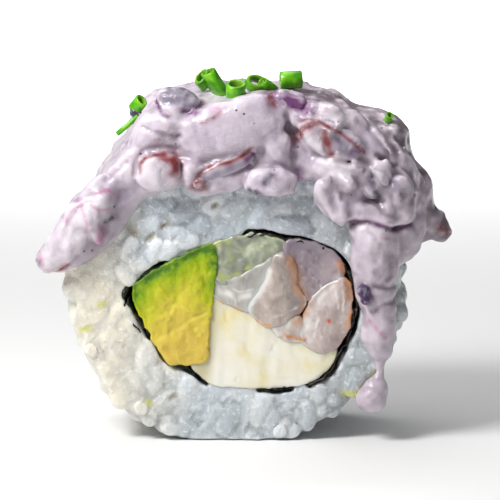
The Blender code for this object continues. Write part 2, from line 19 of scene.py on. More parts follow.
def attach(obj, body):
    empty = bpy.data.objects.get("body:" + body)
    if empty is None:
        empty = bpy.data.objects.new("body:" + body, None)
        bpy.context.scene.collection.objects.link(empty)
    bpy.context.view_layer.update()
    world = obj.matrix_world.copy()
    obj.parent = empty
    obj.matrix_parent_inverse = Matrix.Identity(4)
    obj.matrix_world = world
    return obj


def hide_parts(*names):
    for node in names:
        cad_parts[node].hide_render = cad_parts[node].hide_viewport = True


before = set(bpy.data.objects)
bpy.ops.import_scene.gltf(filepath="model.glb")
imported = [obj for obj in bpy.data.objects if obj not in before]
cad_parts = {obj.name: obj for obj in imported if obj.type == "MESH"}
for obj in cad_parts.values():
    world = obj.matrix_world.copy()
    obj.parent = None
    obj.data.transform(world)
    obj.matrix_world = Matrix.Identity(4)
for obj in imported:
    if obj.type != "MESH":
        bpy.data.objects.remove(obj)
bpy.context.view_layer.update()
MM = 0.001
print("nodes in the frame:", len(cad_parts))

# %% [markdown]
# ## Tools for shapes
#
# Food has no straight lines, so three helpers come up again and again: a smooth closed curve through
# a few points that were read off the cut face, a smooth noise that makes things uneven, and a grid of
# points that is turned into faces. Each works on whole arrays at once, which is what makes numpy quick.

# %% Noise and curves
NOISE_CELLS = 32


def noise(points, size, seed):
    """Smooth noise from -1 to 1: random numbers at the corners of cubes of the given size, blended
    inside each cube with the weights 3f^2 - 2f^3, where f is the place in the cube from 0 to 1."""
    table = np.random.default_rng(seed).uniform(-1, 1, (NOISE_CELLS,) * 3)
    place = np.asarray(points, float) / size
    cell = np.floor(place).astype(int)
    f = place - cell
    f = f * f * (3 - 2 * f)
    total = np.zeros(place.shape[:-1])
    for corner in np.ndindex(2, 2, 2):
        weight = np.prod(np.where(corner, f, 1 - f), axis=-1)
        x, y, z = np.moveaxis((cell + corner) % NOISE_CELLS, -1, 0)
        total += weight * table[x, y, z]
    return total


def closed_curve(points, count):
    """Even points on the closed Catmull-Rom curve through the given points: between two of them the
    curve is the cubic whose ends have the slope of their neighbours' chord."""
    knots = np.array(points, float)
    along = np.linspace(0, len(knots), 40 * len(knots), endpoint=False)
    first = along.astype(int)
    f = (along - first)[:, None]
    a, b, c, d = (knots[(first + k) % len(knots)] for k in (-1, 0, 1, 2))
    dense = 0.5 * (2 * b + (c - a) * f + (2 * a - 5 * b + 4 * c - d) * f**2 + (3 * b - a - 3 * c + d) * f**3)
    loop = np.vstack([dense, dense[:1]])
    length = np.concatenate([[0], np.cumsum(np.linalg.norm(np.diff(loop, axis=0), axis=1))])
    wanted = np.linspace(0, length[-1], count, endpoint=False)
    return np.column_stack([np.interp(wanted, length, loop[:, k]) for k in (0, 1)])


def outward(outline):
    """Unit directions out of a counter-clockwise outline: its tangent turned a quarter to the right."""
    tangent = np.roll(outline, -1, 0) - np.roll(outline, 1, 0)
    tangent /= np.linalg.norm(tangent, axis=1)[:, None]
    return np.column_stack([tangent[:, 1], -tangent[:, 0]])


def distance_to(points, path, closed=False):
    """Distance from each (x, z) point to the nearest stretch of a path of straight stretches."""
    path = np.array(path, float)
    ends = np.roll(path, -1, 0) if closed else path[1:]
    starts = path if closed else path[:-1]
    best = np.full(points.shape[:-1], np.inf)
    for start, end in zip(starts, ends):
        along = end - start
        share = np.clip((points - start) @ along / (along @ along), 0, 1)
        best = np.minimum(best, np.linalg.norm(points - start - share[..., None] * along, axis=-1))
    return best


def mark(points, path, width):
    """1 on the path, falling off to the sides as a bell curve of the given width."""
    return np.exp(-((distance_to(points, path) / width) ** 2))


def strongest(points, lines):
    """The strongest of the marks of several lines, each a path and its width."""
    return np.max([mark(points, path, width) for path, width in lines], axis=0)


def flat_noise(at, size, seed):
    """The noise at (x, z) places, at a depth of zero."""
    return noise(np.concatenate([at, 0 * at[..., :1]], -1), size, seed)


def eased(share):
    """0 to 1 with a soft start and end: 3s^2 - 2s^3."""
    share = np.clip(share, 0, 1)
    return share * share * (3 - 2 * share)


# %% Meshes from grids
def grid_faces(rows, columns, first=0):
    """Quads between neighbouring rows of points, where the last column joins the first again."""
    row, column = np.meshgrid(np.arange(rows - 1), np.arange(columns), indexing="ij")
    here = first + row * columns + column
    beside = first + row * columns + (column + 1) % columns
    return np.stack([here, beside, beside + columns, here + columns], -1).reshape(-1, 4)


def end_fans(columns, last, tips, first=0):
    """Two fans of triangles that close a tube: from one tip to the row of points that starts at first,
    and from the other tip to the row that starts at last."""
    k = np.arange(columns)
    beside = (k + 1) % columns
    return np.vstack([np.column_stack([0 * k + tips[0], first + beside, first + k]),
                      np.column_stack([0 * k + tips[1], last + k, last + beside])])


def make_piece(name, points, faces, material, replaced=(), marks=None):
    """A smooth mesh piece in metres, with its number per point (marks), that rides on the food."""
    mesh = bpy.data.meshes.new(name)
    faces = [np.asarray(group, int) for group in (faces if isinstance(faces, list) else [faces])]
    loops = np.concatenate([group.ravel() for group in faces])
    sizes = np.concatenate([np.full(len(group), group.shape[1]) for group in faces])
    mesh.vertices.add(len(points))
    mesh.vertices.foreach_set("co", (np.asarray(points) * MM).astype(np.float32).ravel())
    mesh.loops.add(len(loops))
    mesh.loops.foreach_set("vertex_index", loops)
    mesh.polygons.add(len(sizes))
    mesh.polygons.foreach_set("loop_start", np.concatenate([[0], np.cumsum(sizes)[:-1]]))
    mesh.update(calc_edges=True)
    mesh.validate()
    mesh.shade_smooth()
    for mark_name, values in (marks or {}).items():
        layer = mesh.attributes.new(mark_name, "FLOAT", "POINT")
        layer.data.foreach_set("value", np.asarray(values, np.float32).ravel())
    piece = bpy.data.objects.new(name, mesh)
    bpy.context.scene.collection.objects.link(piece)
    piece.data.materials.append(material)
    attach(piece, "root")
    if replaced:
        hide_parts(*replaced)
    print(f"{name}: {len(points)} points, {sum(sizes - 2)} triangles")
    return piece


# %% [markdown]
# ## Tools for finishes
#
# A material is a small graph of nodes. One function adds a node with its settings and its links, so
# that each graph below reads from top to bottom like a recipe. Colours are written as the hex values
# that a picture editor shows, and one function turns them into the linear values that light needs.

# %% Colours and nodes
def paint(colour):
    """sRGB hex to linear RGBA: each value v becomes ((v + 0.055) / 1.055)^2.4, or v / 12.92 if dark. A
    number is a linear grey already."""
    if not isinstance(colour, str):
        return (colour, colour, colour, 1.0)
    value = np.array([int(colour[k:k + 2], 16) / 255 for k in (1, 3, 5)])
    linear = np.where(value > 0.04045, ((value + 0.055) / 1.055) ** 2.4, value / 12.92)
    return (*linear, 1.0)


def plug(tree, socket, value):
    """Sets a socket to a value, or links it to another socket or to the first output of a node."""
    if isinstance(value, bpy.types.Node):
        value = value.outputs[0]
    if isinstance(value, bpy.types.NodeSocket):
        tree.links.new(value, socket)
    else:
        socket.default_value = value


def add(tree, kind, sockets=None, stops=None, **settings):
    """A node of a kind with its settings, its socket values or links, and a ramp's colour stops."""
    made = tree.nodes.new("ShaderNode" + kind)
    for name, value in settings.items():
        setattr(made, name, value)
    for name, value in (sockets or {}).items():
        plug(tree, made.inputs[name], value)
    if stops:
        ramp = made.color_ramp
        while len(ramp.elements) < len(stops):
            ramp.elements.new(0.5)
        for element, (position, colour) in zip(ramp.elements, stops):
            element.position = position
            element.color = paint(colour)
    return made


def new_material(name, sockets):
    """A material with one Principled shader; returns it, its graph and the places on the object."""
    material = bpy.data.materials.new(name)
    material.use_nodes = True
    tree = material.node_tree
    for socket, value in sockets.items():
        plug(tree, tree.nodes["Principled BSDF"].inputs[socket], value)
    return material, tree, add(tree, "TexCoord").outputs["Object"]


def coated(tree, colour, *coats):
    """The colour under coats of paint, each with its share from 0 to 1 and its hex value. The share is a
    node, or the name of a mark on the points."""
    for share, tint in coats:
        if isinstance(share, str):
            share = add(tree, "Attribute", attribute_name=share).outputs["Fac"]
        colour = add(tree, "Mix", {0: share, 6: colour, 7: paint(tint)}, data_type="RGBA").outputs[2]
    return colour


def dress(tree, colour, *bumps):
    """Gives the shader its colour and its bumps, each over the one before: the node of the height, the
    strength and the depth in metres."""
    shader = tree.nodes["Principled BSDF"]
    plug(tree, shader.inputs["Base Color"], colour)
    under = {}
    for height, strength, depth in bumps:
        under = {"Normal": add(tree, "Bump", {"Height": height, "Strength": strength, "Distance": depth} | under)}
    for name, bump in under.items():
        plug(tree, shader.inputs[name], bump)


WHITE, BLACK = 1, 0


# %% [markdown]
# ## The octopus cream
#
# The cream is mayonnaise-thick: it sits in soft heaps over the pieces stirred into it, folds where a
# spoon left it and sags into a tongue at the left, a long drip at the right and a spike beside it. A
# grid of two parameters can't fold like that or split into drips, and a voxel remesh of joined balls
# rounds every crease alike. Here each heap is a distance function: a number at every point of space
# that is below zero inside the cream. The smaller of two such numbers joins two heaps, and a *smooth*
# smaller-of fills the crease between them like a real thick sauce. The skin is then drawn where the
# number is zero.

# %% Where the cream lies
CENTRE = np.array([0.0, 21.3])
HALF_LENGTH = 12.0
CORE_OUTLINE = (
    (25.0, 22.0), (24.5, 27.5), (22.2, 33.0), (18.0, 38.0), (12.0, 41.4), (4.0, 43.0), (-4.0, 43.0),
    (-12.0, 41.0), (-18.5, 37.0), (-23.0, 31.5), (-25.2, 25.5), (-24.6, 19.0), (-23.0, 14.2),
    (-19.9, 8.6), (-15.6, 4.4), (-11.0, 1.8), (-6.0, -0.4), (1.0, -0.7), (7.0, 0.9), (13.0, 3.7),
    (18.8, 8.1), (22.6, 13.4), (24.6, 18.0),
)
# How far the cream reaches from the roll's centre, and where its front and back edges hang, by degrees
OUTSIDE = (
    (6, 26.0), (14, 28.2), (22, 31.0), (30, 33.2), (40, 34.9), (50, 35.6), (60, 35.2), (70, 34.4),
    (80, 34.0), (90, 33.8), (100, 33.8), (108, 33.7), (115, 32.9), (122, 31.4), (130, 30.0),
    (140, 28.9), (150, 28.5), (160, 27.8), (168, 26.4),
)
FRONT_EDGE = (
    (6, 18.4), (14, 18.2), (22, 18.6), (30, 19.8), (40, 20.8), (48, 20.8), (54, 21.4), (59, 22.4), (63, 20.8),
    (68, 18.8), (72, 18.0), (78, 17.9), (84, 18.5), (92, 19.2), (100, 19.1), (109, 19.4), (116, 19.8),
    (122, 20.5), (129, 21.3), (136, 21.1), (148, 21.2), (157, 22.0), (163, 23.0), (168, 24.6),
)
BACK_EDGE = (
    (6, 22.5), (20, 20.0), (35, 17.6), (50, 20.4), (65, 18.6), (80, 16.6), (95, 19.6),
    (112, 18.0), (128, 16.2), (142, 19.4), (156, 21.0), (168, 23.0),
)
CREAM_START, CREAM_END = 9.0, 168.0
CREAM_HALF_LENGTH = 14.2
LIP = 2.0
SQUARENESS = 2.6


def room(low, high, step):
    """A box of space as a grid: its low corner, its step and the place of every grid point."""
    axes = [np.arange(low[k], high[k], step) for k in range(3)]
    return np.array(low), step, np.stack(np.meshgrid(*axes, indexing="ij"), -1)


cream_room = room((-35.0, -19.8, 2.5), (36.5, 18.6, 59.0), 0.34)
space = cream_room[2]
print("grid of the cream's space:", space.shape[:3])


# %% Distance functions
def smooth_least(a, b, width):
    """The smaller of a and b, rounded off by up to width / 4 where they are nearly equal."""
    near = np.maximum(width - np.abs(a - b), 0) / width
    return np.minimum(a, b) - near * near * width / 4


def from_table(table, degrees):
    """The table's value at each angle, smoothed over four degrees."""
    angle, value = np.array(table, float).T
    return (np.interp(degrees - 2, angle, value) + np.interp(degrees, angle, value)
            + np.interp(degrees + 2, angle, value)) / 3


def blanket(points):
    """Distance to the cream's main sheet. Across the roll its section is a squarish arch: the p-th
    powers of the offset along the roll and of the height above the middle, each over its reach, add
    to one. The arch follows the roll round from the right side over the top to the left."""
    x, y, z = points[..., 0] - CENTRE[0], points[..., 1], points[..., 2] - CENTRE[1]
    radius = np.hypot(x, z)
    degrees = np.degrees(np.arctan2(z, x))
    degrees = np.where(degrees < -90, degrees + 360, degrees)
    share = np.clip((y / CREAM_HALF_LENGTH + 1) / 2, 0, 1)
    edge = from_table(FRONT_EDGE, degrees) * (1 - share) + from_table(BACK_EDGE, degrees) * share
    middle = edge + LIP
    reach = np.maximum(np.where(radius > middle, from_table(OUTSIDE, degrees) - middle, LIP), 0.8)
    end = np.minimum(degrees - CREAM_START, CREAM_END - degrees)
    fade = np.sqrt(np.clip((end + 2) / 9, 0.05, 1))
    across = np.abs(y) / (CREAM_HALF_LENGTH * (0.55 + 0.45 * fade))
    rise = np.abs(radius - middle) / (reach * fade)
    size = (across**SQUARENESS + rise**SQUARENESS) ** (1 / SQUARENESS)
    body = np.hypot(y, radius - middle) * (1 - 1 / np.maximum(size, 0.05))
    return np.maximum(body, -np.radians(end) * radius)


def heap(points, centre, radii, tilt, squareness):
    """Distance to a superellipsoid turned about Y. Its size at a point is the q-th root of the sum of
    the q-th powers of the three offsets, each over its radius; the distance is the length from the
    centre, less that of the skin in the same direction."""
    place = points - np.array(centre)
    c, s = math.cos(math.radians(tilt)), math.sin(math.radians(tilt))
    turned = np.stack([
        place[..., 0] * c + place[..., 2] * s, place[..., 1], place[..., 2] * c - place[..., 0] * s], -1)
    size = (np.abs(turned / np.array(radii)) ** squareness).sum(-1) ** (1 / squareness)
    return np.linalg.norm(place, axis=-1) * (1 - 1 / np.maximum(size, 0.05))


def run(points, path):
    """Distance to a run of cream: a line of straight stretches whose radius changes along each."""
    best = np.full(points.shape[:-1], np.inf)
    for start, end in zip(np.array(path[:-1], float), np.array(path[1:], float)):
        along = end[:3] - start[:3]
        share = np.clip((points - start[:3]) @ along / (along @ along), 0, 1)
        away = np.linalg.norm(points - start[:3] - share[..., None] * along, axis=-1)
        best = np.minimum(best, away - start[3] - (end[3] - start[3]) * share)
    return best


def box_round(grid, centre, size):
    """The part of a grid that lies within a size of a centre, as one slice for each axis."""
    corner, step = grid[:2]
    low = np.maximum(((np.array(centre) - size - corner) / step).astype(int), 0)
    high = np.maximum(((np.array(centre) + size - corner) / step).astype(int) + 2, low + 1)
    return tuple(slice(a, b) for a, b in zip(low, high))


def into(field, grid, shape, reach, width, *values):
    """Joins a shape into the field, worked out only in the box around it; a width below zero cuts
    the shape out instead."""
    box = box_round(grid, *reach)
    sign = 1 if width > 0 else -1
    field[box] = sign * smooth_least(sign * field[box], shape(grid[2][box], *values), abs(width))


# %% [markdown]
# The heaps are the strokes of the spoon and the pieces under the cream, each with its centre, its
# three radii, a tilt in the plane of the cut face, a squareness (2 is an ellipsoid, 4 nearly a block)
# and how widely it melts into the rest. A negative width cuts a hollow. The sharpest ones come last,
# with a small width, so that their edges still show.

# %% Heaps, drips and hollows
HEAPS = (
    ((-21.4, -10.4, 33.2), (8.4, 3.9, 3.5), 47, 2.0, 2.5),
    ((-28.0, -10.0, 28.6), (3.0, 3.0, 2.3), 35, 2.0, 2.0),
    ((-23.0, 1.0, 33.0), (3.4, 8.0, 4.0), 35, 2.0, 3.0),
    ((-12.0, 3.0, 50.2), (4.6, 6.0, 3.0), 25, 2.0, 3.0),
    ((22.6, -4.0, 45.8), (4.6, 7.0, 4.0), -40, 2.0, 3.0),
    ((26.6, -4.4, 36.8), (3.9, 6.6, 5.6), 0, 2.0, 3.0),
    ((25.2, -6.4, 31.0), (4.0, 6.2, 3.4), 35, 2.0, 2.5),
    ((11.0, 4.0, 51.2), (5.0, 5.0, 3.0), -14, 2.0, 3.0),
    ((-6.0, 9.5, 49.4), (5.0, 4.6, 3.6), 10, 2.0, 2.5),
    ((18.0, 11.5, 44.0), (5.4, 4.0, 4.2), -30, 2.0, 2.5),
    ((3.0, 12.8, 42.5), (4.6, 3.4, 3.4), 0, 2.0, 2.0),
    ((-16.5, 11.4, 42.0), (4.8, 4.0, 4.0), 40, 2.0, 2.5),
    ((-8.0, 13.0, 38.4), (3.4, 2.6, 3.8), 0, 2.0, 1.5),
    ((-16.6, -12.0, 42.4), (5.2, 2.6, 2.0), 52, 2.4, 1.6),
    ((-11.2, -11.6, 49.6), (4.4, 3.8, 2.4), 12, 2.2, 1.2),
    ((-12.2, -11.9, 46.8), (4.0, 3.0, 2.6), 14, 2.2, 2.4),
    ((-23.6, -13.4, 34.6), (7.4, 2.7, 2.9), 53, 3.2, 1.0),
    ((-28.2, -12.4, 28.8), (2.6, 2.6, 2.0), 40, 2.6, 1.0),
    ((-20.6, -15.2, 38.2), (1.9, 1.3, 1.5), 30, 2.0, 0.5),
    ((-22.6, -15.5, 35.4), (2.3, 1.3, 1.8), 50, 2.2, 0.5),
    ((-24.8, -15.2, 32.4), (2.4, 1.4, 1.9), 50, 2.2, 0.5),
    ((-21.2, -15.2, 32.8), (1.1, 1.1, 1.5), 20, 2.0, 0.7),
    ((-27.6, -14.2, 29.8), (1.8, 1.2, 1.5), 40, 2.0, 0.6),
    ((-7.4, -13.6, 42.2), (2.2, 2.6, 2.6), 0, 2.0, 1.2),
    ((-0.9, -11.6, 48.9), (8.7, 4.9, 4.4), 15, 3.0, 1.0),
    ((-1.6, -12.6, 40.9), (6.0, 2.5, 1.9), 14, 2.4, 0.8),
    ((7.0, -16.6, 53.6), (2.4, 3.4, 1.7), -20, 2.0, -0.8),
    ((10.2, -12.9, 50.4), (2.7, 2.2, 1.8), -10, 2.2, 1.2),
    ((14.2, -12.6, 50.8), (4.4, 3.4, 1.7), -22, 2.6, 0.8),
    ((17.2, -13.4, 49.8), (1.7, 1.6, 1.7), 0, 2.0, 0.8),
    ((19.6, -12.4, 47.4), (4.6, 3.4, 2.2), -42, 2.4, 1.0),
    ((24.2, -10.2, 43.8), (3.4, 2.8, 2.6), -50, 2.4, 1.2),
    ((26.4, -9.2, 38.4), (2.8, 3.2, 4.2), 10, 2.2, 1.2),
    ((25.6, -9.8, 32.8), (3.0, 2.8, 3.2), 20, 2.2, 1.2),
    ((10.6, -16.4, 43.4), (3.0, 2.5, 2.2), 20, 2.0, -1.6),
    ((15.4, -13.8, 42.8), (3.8, 2.4, 2.6), -8, 2.4, 1.0),
    ((18.8, -13.4, 44.0), (2.8, 2.3, 2.3), 0, 2.2, 1.0),
    ((16.2, -13.4, 39.4), (4.4, 3.2, 3.7), 38, 2.6, 0.9),
    ((19.6, -12.8, 36.4), (4.6, 3.4, 2.2), -8, 3.0, 0.8),
    ((24.2, -12.4, 37.8), (3.4, 3.2, 4.4), 0, 2.6, 0.9),
    ((21.0, -17.0, 40.0), (1.9, 2.6, 2.9), 5, 2.0, -0.9),
    ((6.2, -13.9, 45.9), (1.7, 1.9, 2.4), 20, 2.2, 1.2),
    ((7.4, -13.6, 47.0), (1.2, 1.5, 1.3), 0, 2.0, 1.2),
    ((18.4, -15.6, 43.0), (1.2, 1.2, 1.1), 0, 2.0, 0.6),
    ((17.0, -16.2, 40.2), (1.4, 1.1, 1.3), 20, 2.0, 0.6),
    ((13.2, -16.0, 40.4), (1.3, 1.2, 1.2), 0, 2.0, 0.6),
    ((15.8, -15.9, 37.0), (1.3, 1.0, 1.6), -30, 2.0, 0.8),
    ((26.2, -14.0, 35.6), (1.3, 1.3, 1.3), 0, 2.0, 0.7),
    ((25.1, -14.4, 39.6), (1.7, 1.5, 1.9), 20, 2.4, 0.6),
)
FRONT_DRIP = (
    (21.0, -13.0, 33.5, 3.7), (21.3, -13.2, 28.6, 3.6), (21.4, -13.3, 24.6, 3.2), (21.9, -13.1, 20.6, 2.8),
    (21.8, -13.2, 17.2, 2.6), (22.1, -13.1, 14.6, 1.9), (22.2, -13.0, 12.6, 1.0), (22.3, -13.0, 11.2, 0.6),
    (22.0, -13.0, 10.0, 0.9), (21.5, -13.0, 8.2, 2.2), (20.9, -13.0, 6.9, 2.4),
)
BACK_DRIP = (
    (-17.0, 13.2, 35.0, 3.0), (-17.6, 13.3, 31.0, 2.4), (-17.9, 13.3, 27.4, 1.8), (-17.8, 13.3, 24.6, 2.1),
)
SPIKE = ((27.6, -5.0, 34.8, 3.2), (30.0, -5.2, 33.4, 2.2), (31.6, -5.3, 32.3, 1.5), (32.4, -5.4, 31.7, 1.1))

cream_field = blanket(space)
for centre, radii, tilt, squareness, width in HEAPS:
    reach = max(radii) + abs(width) + 1
    into(cream_field, cream_room, heap, (centre, reach), width, centre, radii, tilt, squareness)
for path in (FRONT_DRIP, BACK_DRIP, SPIKE):
    corners = np.array(path)[:, :3]
    middle, half = (corners.max(0) + corners.min(0)) / 2, (corners.max(0) - corners.min(0)) / 2
    into(cream_field, cream_room, run, (middle, half + 7), 1.4, path)

# %% [markdown]
# ## Octopus in the cream
#
# Slices of cooked tentacle have white firm flesh and a thin skin, wine-red to grey-purple. In the
# cream only a rim or a corner of each shows. A slice is a rounded pillow, a superellipsoid pushed in
# and out by noise. It isn't simply laid on the cream: the cream's field is drawn up over it as a film
# about a third of a millimetre thick, and the film is broken only along the lines where the
# photograph shows skin.

# %% Slices and where their skin shows
# centre, radii, tilt about Y, lean about X
SLICES = {
    "octopus_top_left": ((-8.9, -11.2, 52.3), (3.5, 2.7, 2.2), -6, 0),
    "octopus_left": ((-11.5, -15.0, 42.4), (3.2, 1.8, 2.9), 8, 8),
    "octopus_middle": ((-1.9, -14.2, 42.9), (4.9, 1.5, 1.4), 24, 0),
    "octopus_low": ((5.4, -15.2, 40.8), (3.7, 1.6, 2.0), -3, -8),
    "octopus_right": ((14.2, -15.0, 47.5), (4.8, 1.8, 2.5), -24, 10),
    "octopus_top_right": ((7.9, -12.0, 52.6), (3.0, 2.2, 1.7), -14, 0),
    "octopus_side": ((21.2, -14.9, 40.9), (2.2, 1.4, 2.8), 6, 5),
    "octopus_back": ((-5.0, 13.6, 49.4), (3.4, 1.8, 2.4), 10, -20),
}
# Lines of skin as (x, z) on the front: path, half width
SKIN = {
    "red": (
        (((-14.6, 42.3), (-14.5, 43.6), (-13.8, 44.5), (-12.4, 45.0), (-10.6, 45.0)), 0.36),
        (((-11.0, 44.9), (-9.6, 44.5), (-8.9, 43.5), (-9.1, 42.4)), 1.1),
        (((-5.7, 41.8), (-4.6, 42.8), (-3.0, 43.4), (-1.0, 43.8), (0.9, 44.7), (2.4, 45.9)), 0.45),
        (((-6.3, 40.2), (-5.3, 40.1)), 0.95),
        (((9.3, 47.2), (9.7, 48.3), (10.8, 49.2), (12.1, 49.9)), 0.75),
        (((9.7, 50.1), (11.2, 50.5), (12.4, 49.9)), 0.22),
        (((13.4, 48.4), (13.8, 46.8), (14.3, 45.1)), 0.75),
        (((12.0, 50.4), (14.2, 49.2), (15.9, 48.3), (17.9, 46.7), (19.4, 45.5)), 0.34),
        (((-5.2, 49.8), (-3.4, 50.6), (-1.6, 51.9)), 0.3),
        (((5.2, 53.7), (5.7, 52.7)), 0.6),
        (((31.6, 32.9), (32.8, 32.2)), 0.8),
        (((-29.6, 26.6), (-27.6, 26.6), (-26.0, 27.8)), 0.5),
    ),
    "purple": (
        (((-12.2, 53.0), (-11.4, 51.4), (-10.2, 50.6)), 0.3),
        (((-8.0, 51.4), (-6.2, 51.2), (-5.2, 52.4)), 0.55),
        (((5.3, 54.0), (6.6, 53.4), (8.4, 52.8), (10.6, 52.0)), 1.5),
        (((9.4, 42.4), (9.9, 41.2), (9.2, 39.6)), 0.6),
        (((17.4, 45.3), (19.4, 45.5)), 0.6),
        # Painted shade: this purple line darkens the crease under the overhang above the front drip.
        (((17.2, 34.3), (18.2, 34.7), (19.9, 34.8), (21.8, 34.3), (23.9, 33.5), (26.6, 34.0)), 0.3),
        (((1.6, 44.2), (2.6, 45.0)), 0.5),
        (((3.0, 39.3), (4.4, 38.5), (6.6, 38.3)), 0.4),
    ),
    "dark": (
        (((-10.4, 55.0), (-7.2, 54.8), (-5.4, 53.8)), 0.5),
        (((2.3, 39.5), (3.3, 39.0)), 0.75),
        (((4.3, 40.8), (4.9, 41.6), (5.4, 42.2)), 0.6),
        (((20.5, 41.6), (20.9, 40.2), (21.6, 38.8)), 0.75),
        (((25.2, 38.9), (25.4, 38.3)), 0.55),
        (((14.4, 41.7), (14.5, 41.0)), 0.3),
        (((-19.9, 34.6), (-18.9, 35.2)), 0.35),
        (((-14.0, 54.2), (-12.4, 54.7)), 0.5),
        (((11.8, 54.6), (14.4, 53.9)), 0.6),
        (((17.2, 53.0), (19.2, 52.0)), 0.8),
        (((-31.0, 28.6), (-30.2, 28.0)), 0.5),
    ),
    "pink": (
        (((-21.4, 39.2), (-19.4, 39.6), (-18.4, 38.4)), 0.3),
        (((-24.4, 37.8), (-23.0, 38.0)), 0.3),
        (((-22.4, 37.6), (-20.8, 36.6), (-19.4, 36.6)), 0.25),
        (((-20.6, 34.0), (-20.4, 32.8), (-20.9, 31.6)), 0.6),
        (((-23.2, 36.6), (-22.6, 34.6), (-22.8, 33.2)), 0.28),
        (((-25.8, 34.6), (-25.0, 36.4), (-23.4, 37.2)), 0.3),
        (((-30.2, 29.6), (-29.6, 28.0)), 0.4),
        (((20.6, 19.2), (21.6, 18.2), (22.8, 16.9)), 0.4),
        (((22.0, 32.4), (23.4, 32.3)), 0.25),
        (((-4.0, 51.9), (-2.6, 51.7)), 0.4),
    ),
    "grey": (
        (((-10.8, 53.4), (-8.8, 53.5), (-7.0, 52.9)), 1.4),
        # Grey skin on the right wedge, darkened as painted shade on its face turned from the light.
        (((15.2, 47.2), (16.2, 46.4), (17.6, 45.8)), 1.5),
        (((24.2, 40.6), (25.4, 39.6)), 0.8),
        # Painted shade: the grey band under the ledge of the top stroke.
        (((-4.4, 41.4), (-2.0, 42.5), (1.6, 43.9)), 0.8),
    ),
}
# Places painted pale: the white flesh of two slices, and lit faces of the tongue, a shelf and a fold, painted as
# highlight.
PALE_FLESH_AND_LIT_PLACES = (
    (((-12.8, 42.8), (-11.6, 40.6)), 1.8), (((11.0, 47.4), (12.4, 46.6)), 1.1),
    (((-21.0, 37.6), (-25.6, 31.4)), 2.0), (((13.6, 42.6), (17.0, 42.4)), 1.2),
    (((12.4, 50.6), (16.4, 50.2)), 1.0),
)
BLOBS = ((19.2, -16.6, 24.3), (19.8, -16.4, 22.9), (-15.6, -8.6, 50.9), (-5.7, -15.4, 40.6))
BLOB_RADIUS = 0.9


def turned_by(*turns):
    """One rotation after another as a 3 x 3 array, each an axis and its degrees."""
    total = Matrix.Identity(3)
    for axis, degrees in turns:
        total = total @ Matrix.Rotation(math.radians(degrees), 3, axis)
    return np.array(total)


TURNS = {name: turned_by(("Y", -tilt), ("X", lean)) for name, (centre, radii, tilt, lean) in SLICES.items()}
PILLOW_SQUARENESS = 2.6


def uneven(unit, radii, seed):
    """How far the pillow's skin goes out in a direction: 1 plus two sizes of noise."""
    local = unit * np.array(radii) + 10.0 * seed
    return 1 + 0.10 * noise(local, 1.8, 91) + 0.05 * noise(local, 0.8, 92)


def slice_distance(points, centre, radii, turn, seed):
    """Distance to a slice: as for a heap, with the skin pushed in and out by its noise."""
    local = (points - np.array(centre)) @ turn
    size = (np.abs(local / np.array(radii)) ** PILLOW_SQUARENESS).sum(-1) ** (1 / PILLOW_SQUARENESS)
    size = np.maximum(size, 0.05)
    skin_at = uneven(local / size[..., None] / np.array(radii), radii, seed)
    return np.linalg.norm(local, axis=-1) * (1 - skin_at / size)


def shown(points):
    """From 0 to 1: how bare of cream a place is, by its distance to the lines of skin."""
    lines = SKIN["red"] + SKIN["purple"] + SKIN["grey"]
    return eased((strongest(points[..., (0, 2)], lines) - 0.45) / 0.4) * eased((-7.5 - points[..., 1]) / 2)


def covered(points, centre, radii, turn, seed):
    """Distance to the film of cream over a slice: the slice grown by 0.3 mm, less where skin shows."""
    film = 0.26 + 0.10 * noise(points, 1.4, 97) - 0.45 * shown(points)
    return slice_distance(points, centre, radii, turn, seed) - film


for seed, (name, (centre, radii, tilt, lean)) in enumerate(SLICES.items()):
    into(cream_field, cream_room, covered, (centre, max(radii) + 1.6), 0.7, centre, radii, TURNS[name], seed)

# %% [markdown]
# The spoon also leaves the skin uneven: soft dents some five millimetres wide, bumps of the chopped
# pieces under it, and fine torn ridges where it was pulled. The flat stroke at the top left and the
# drips are smooth, the right side is rough. Single creases and ridges that show are lines drawn into
# the skin. Then the room that the roll takes is cut out, a little smaller than the roll, so that the
# cream is pressed between the outer grains.

# %% Uneven skin, and the roll cut out
core = closed_curve(CORE_OUTLINE, 240)
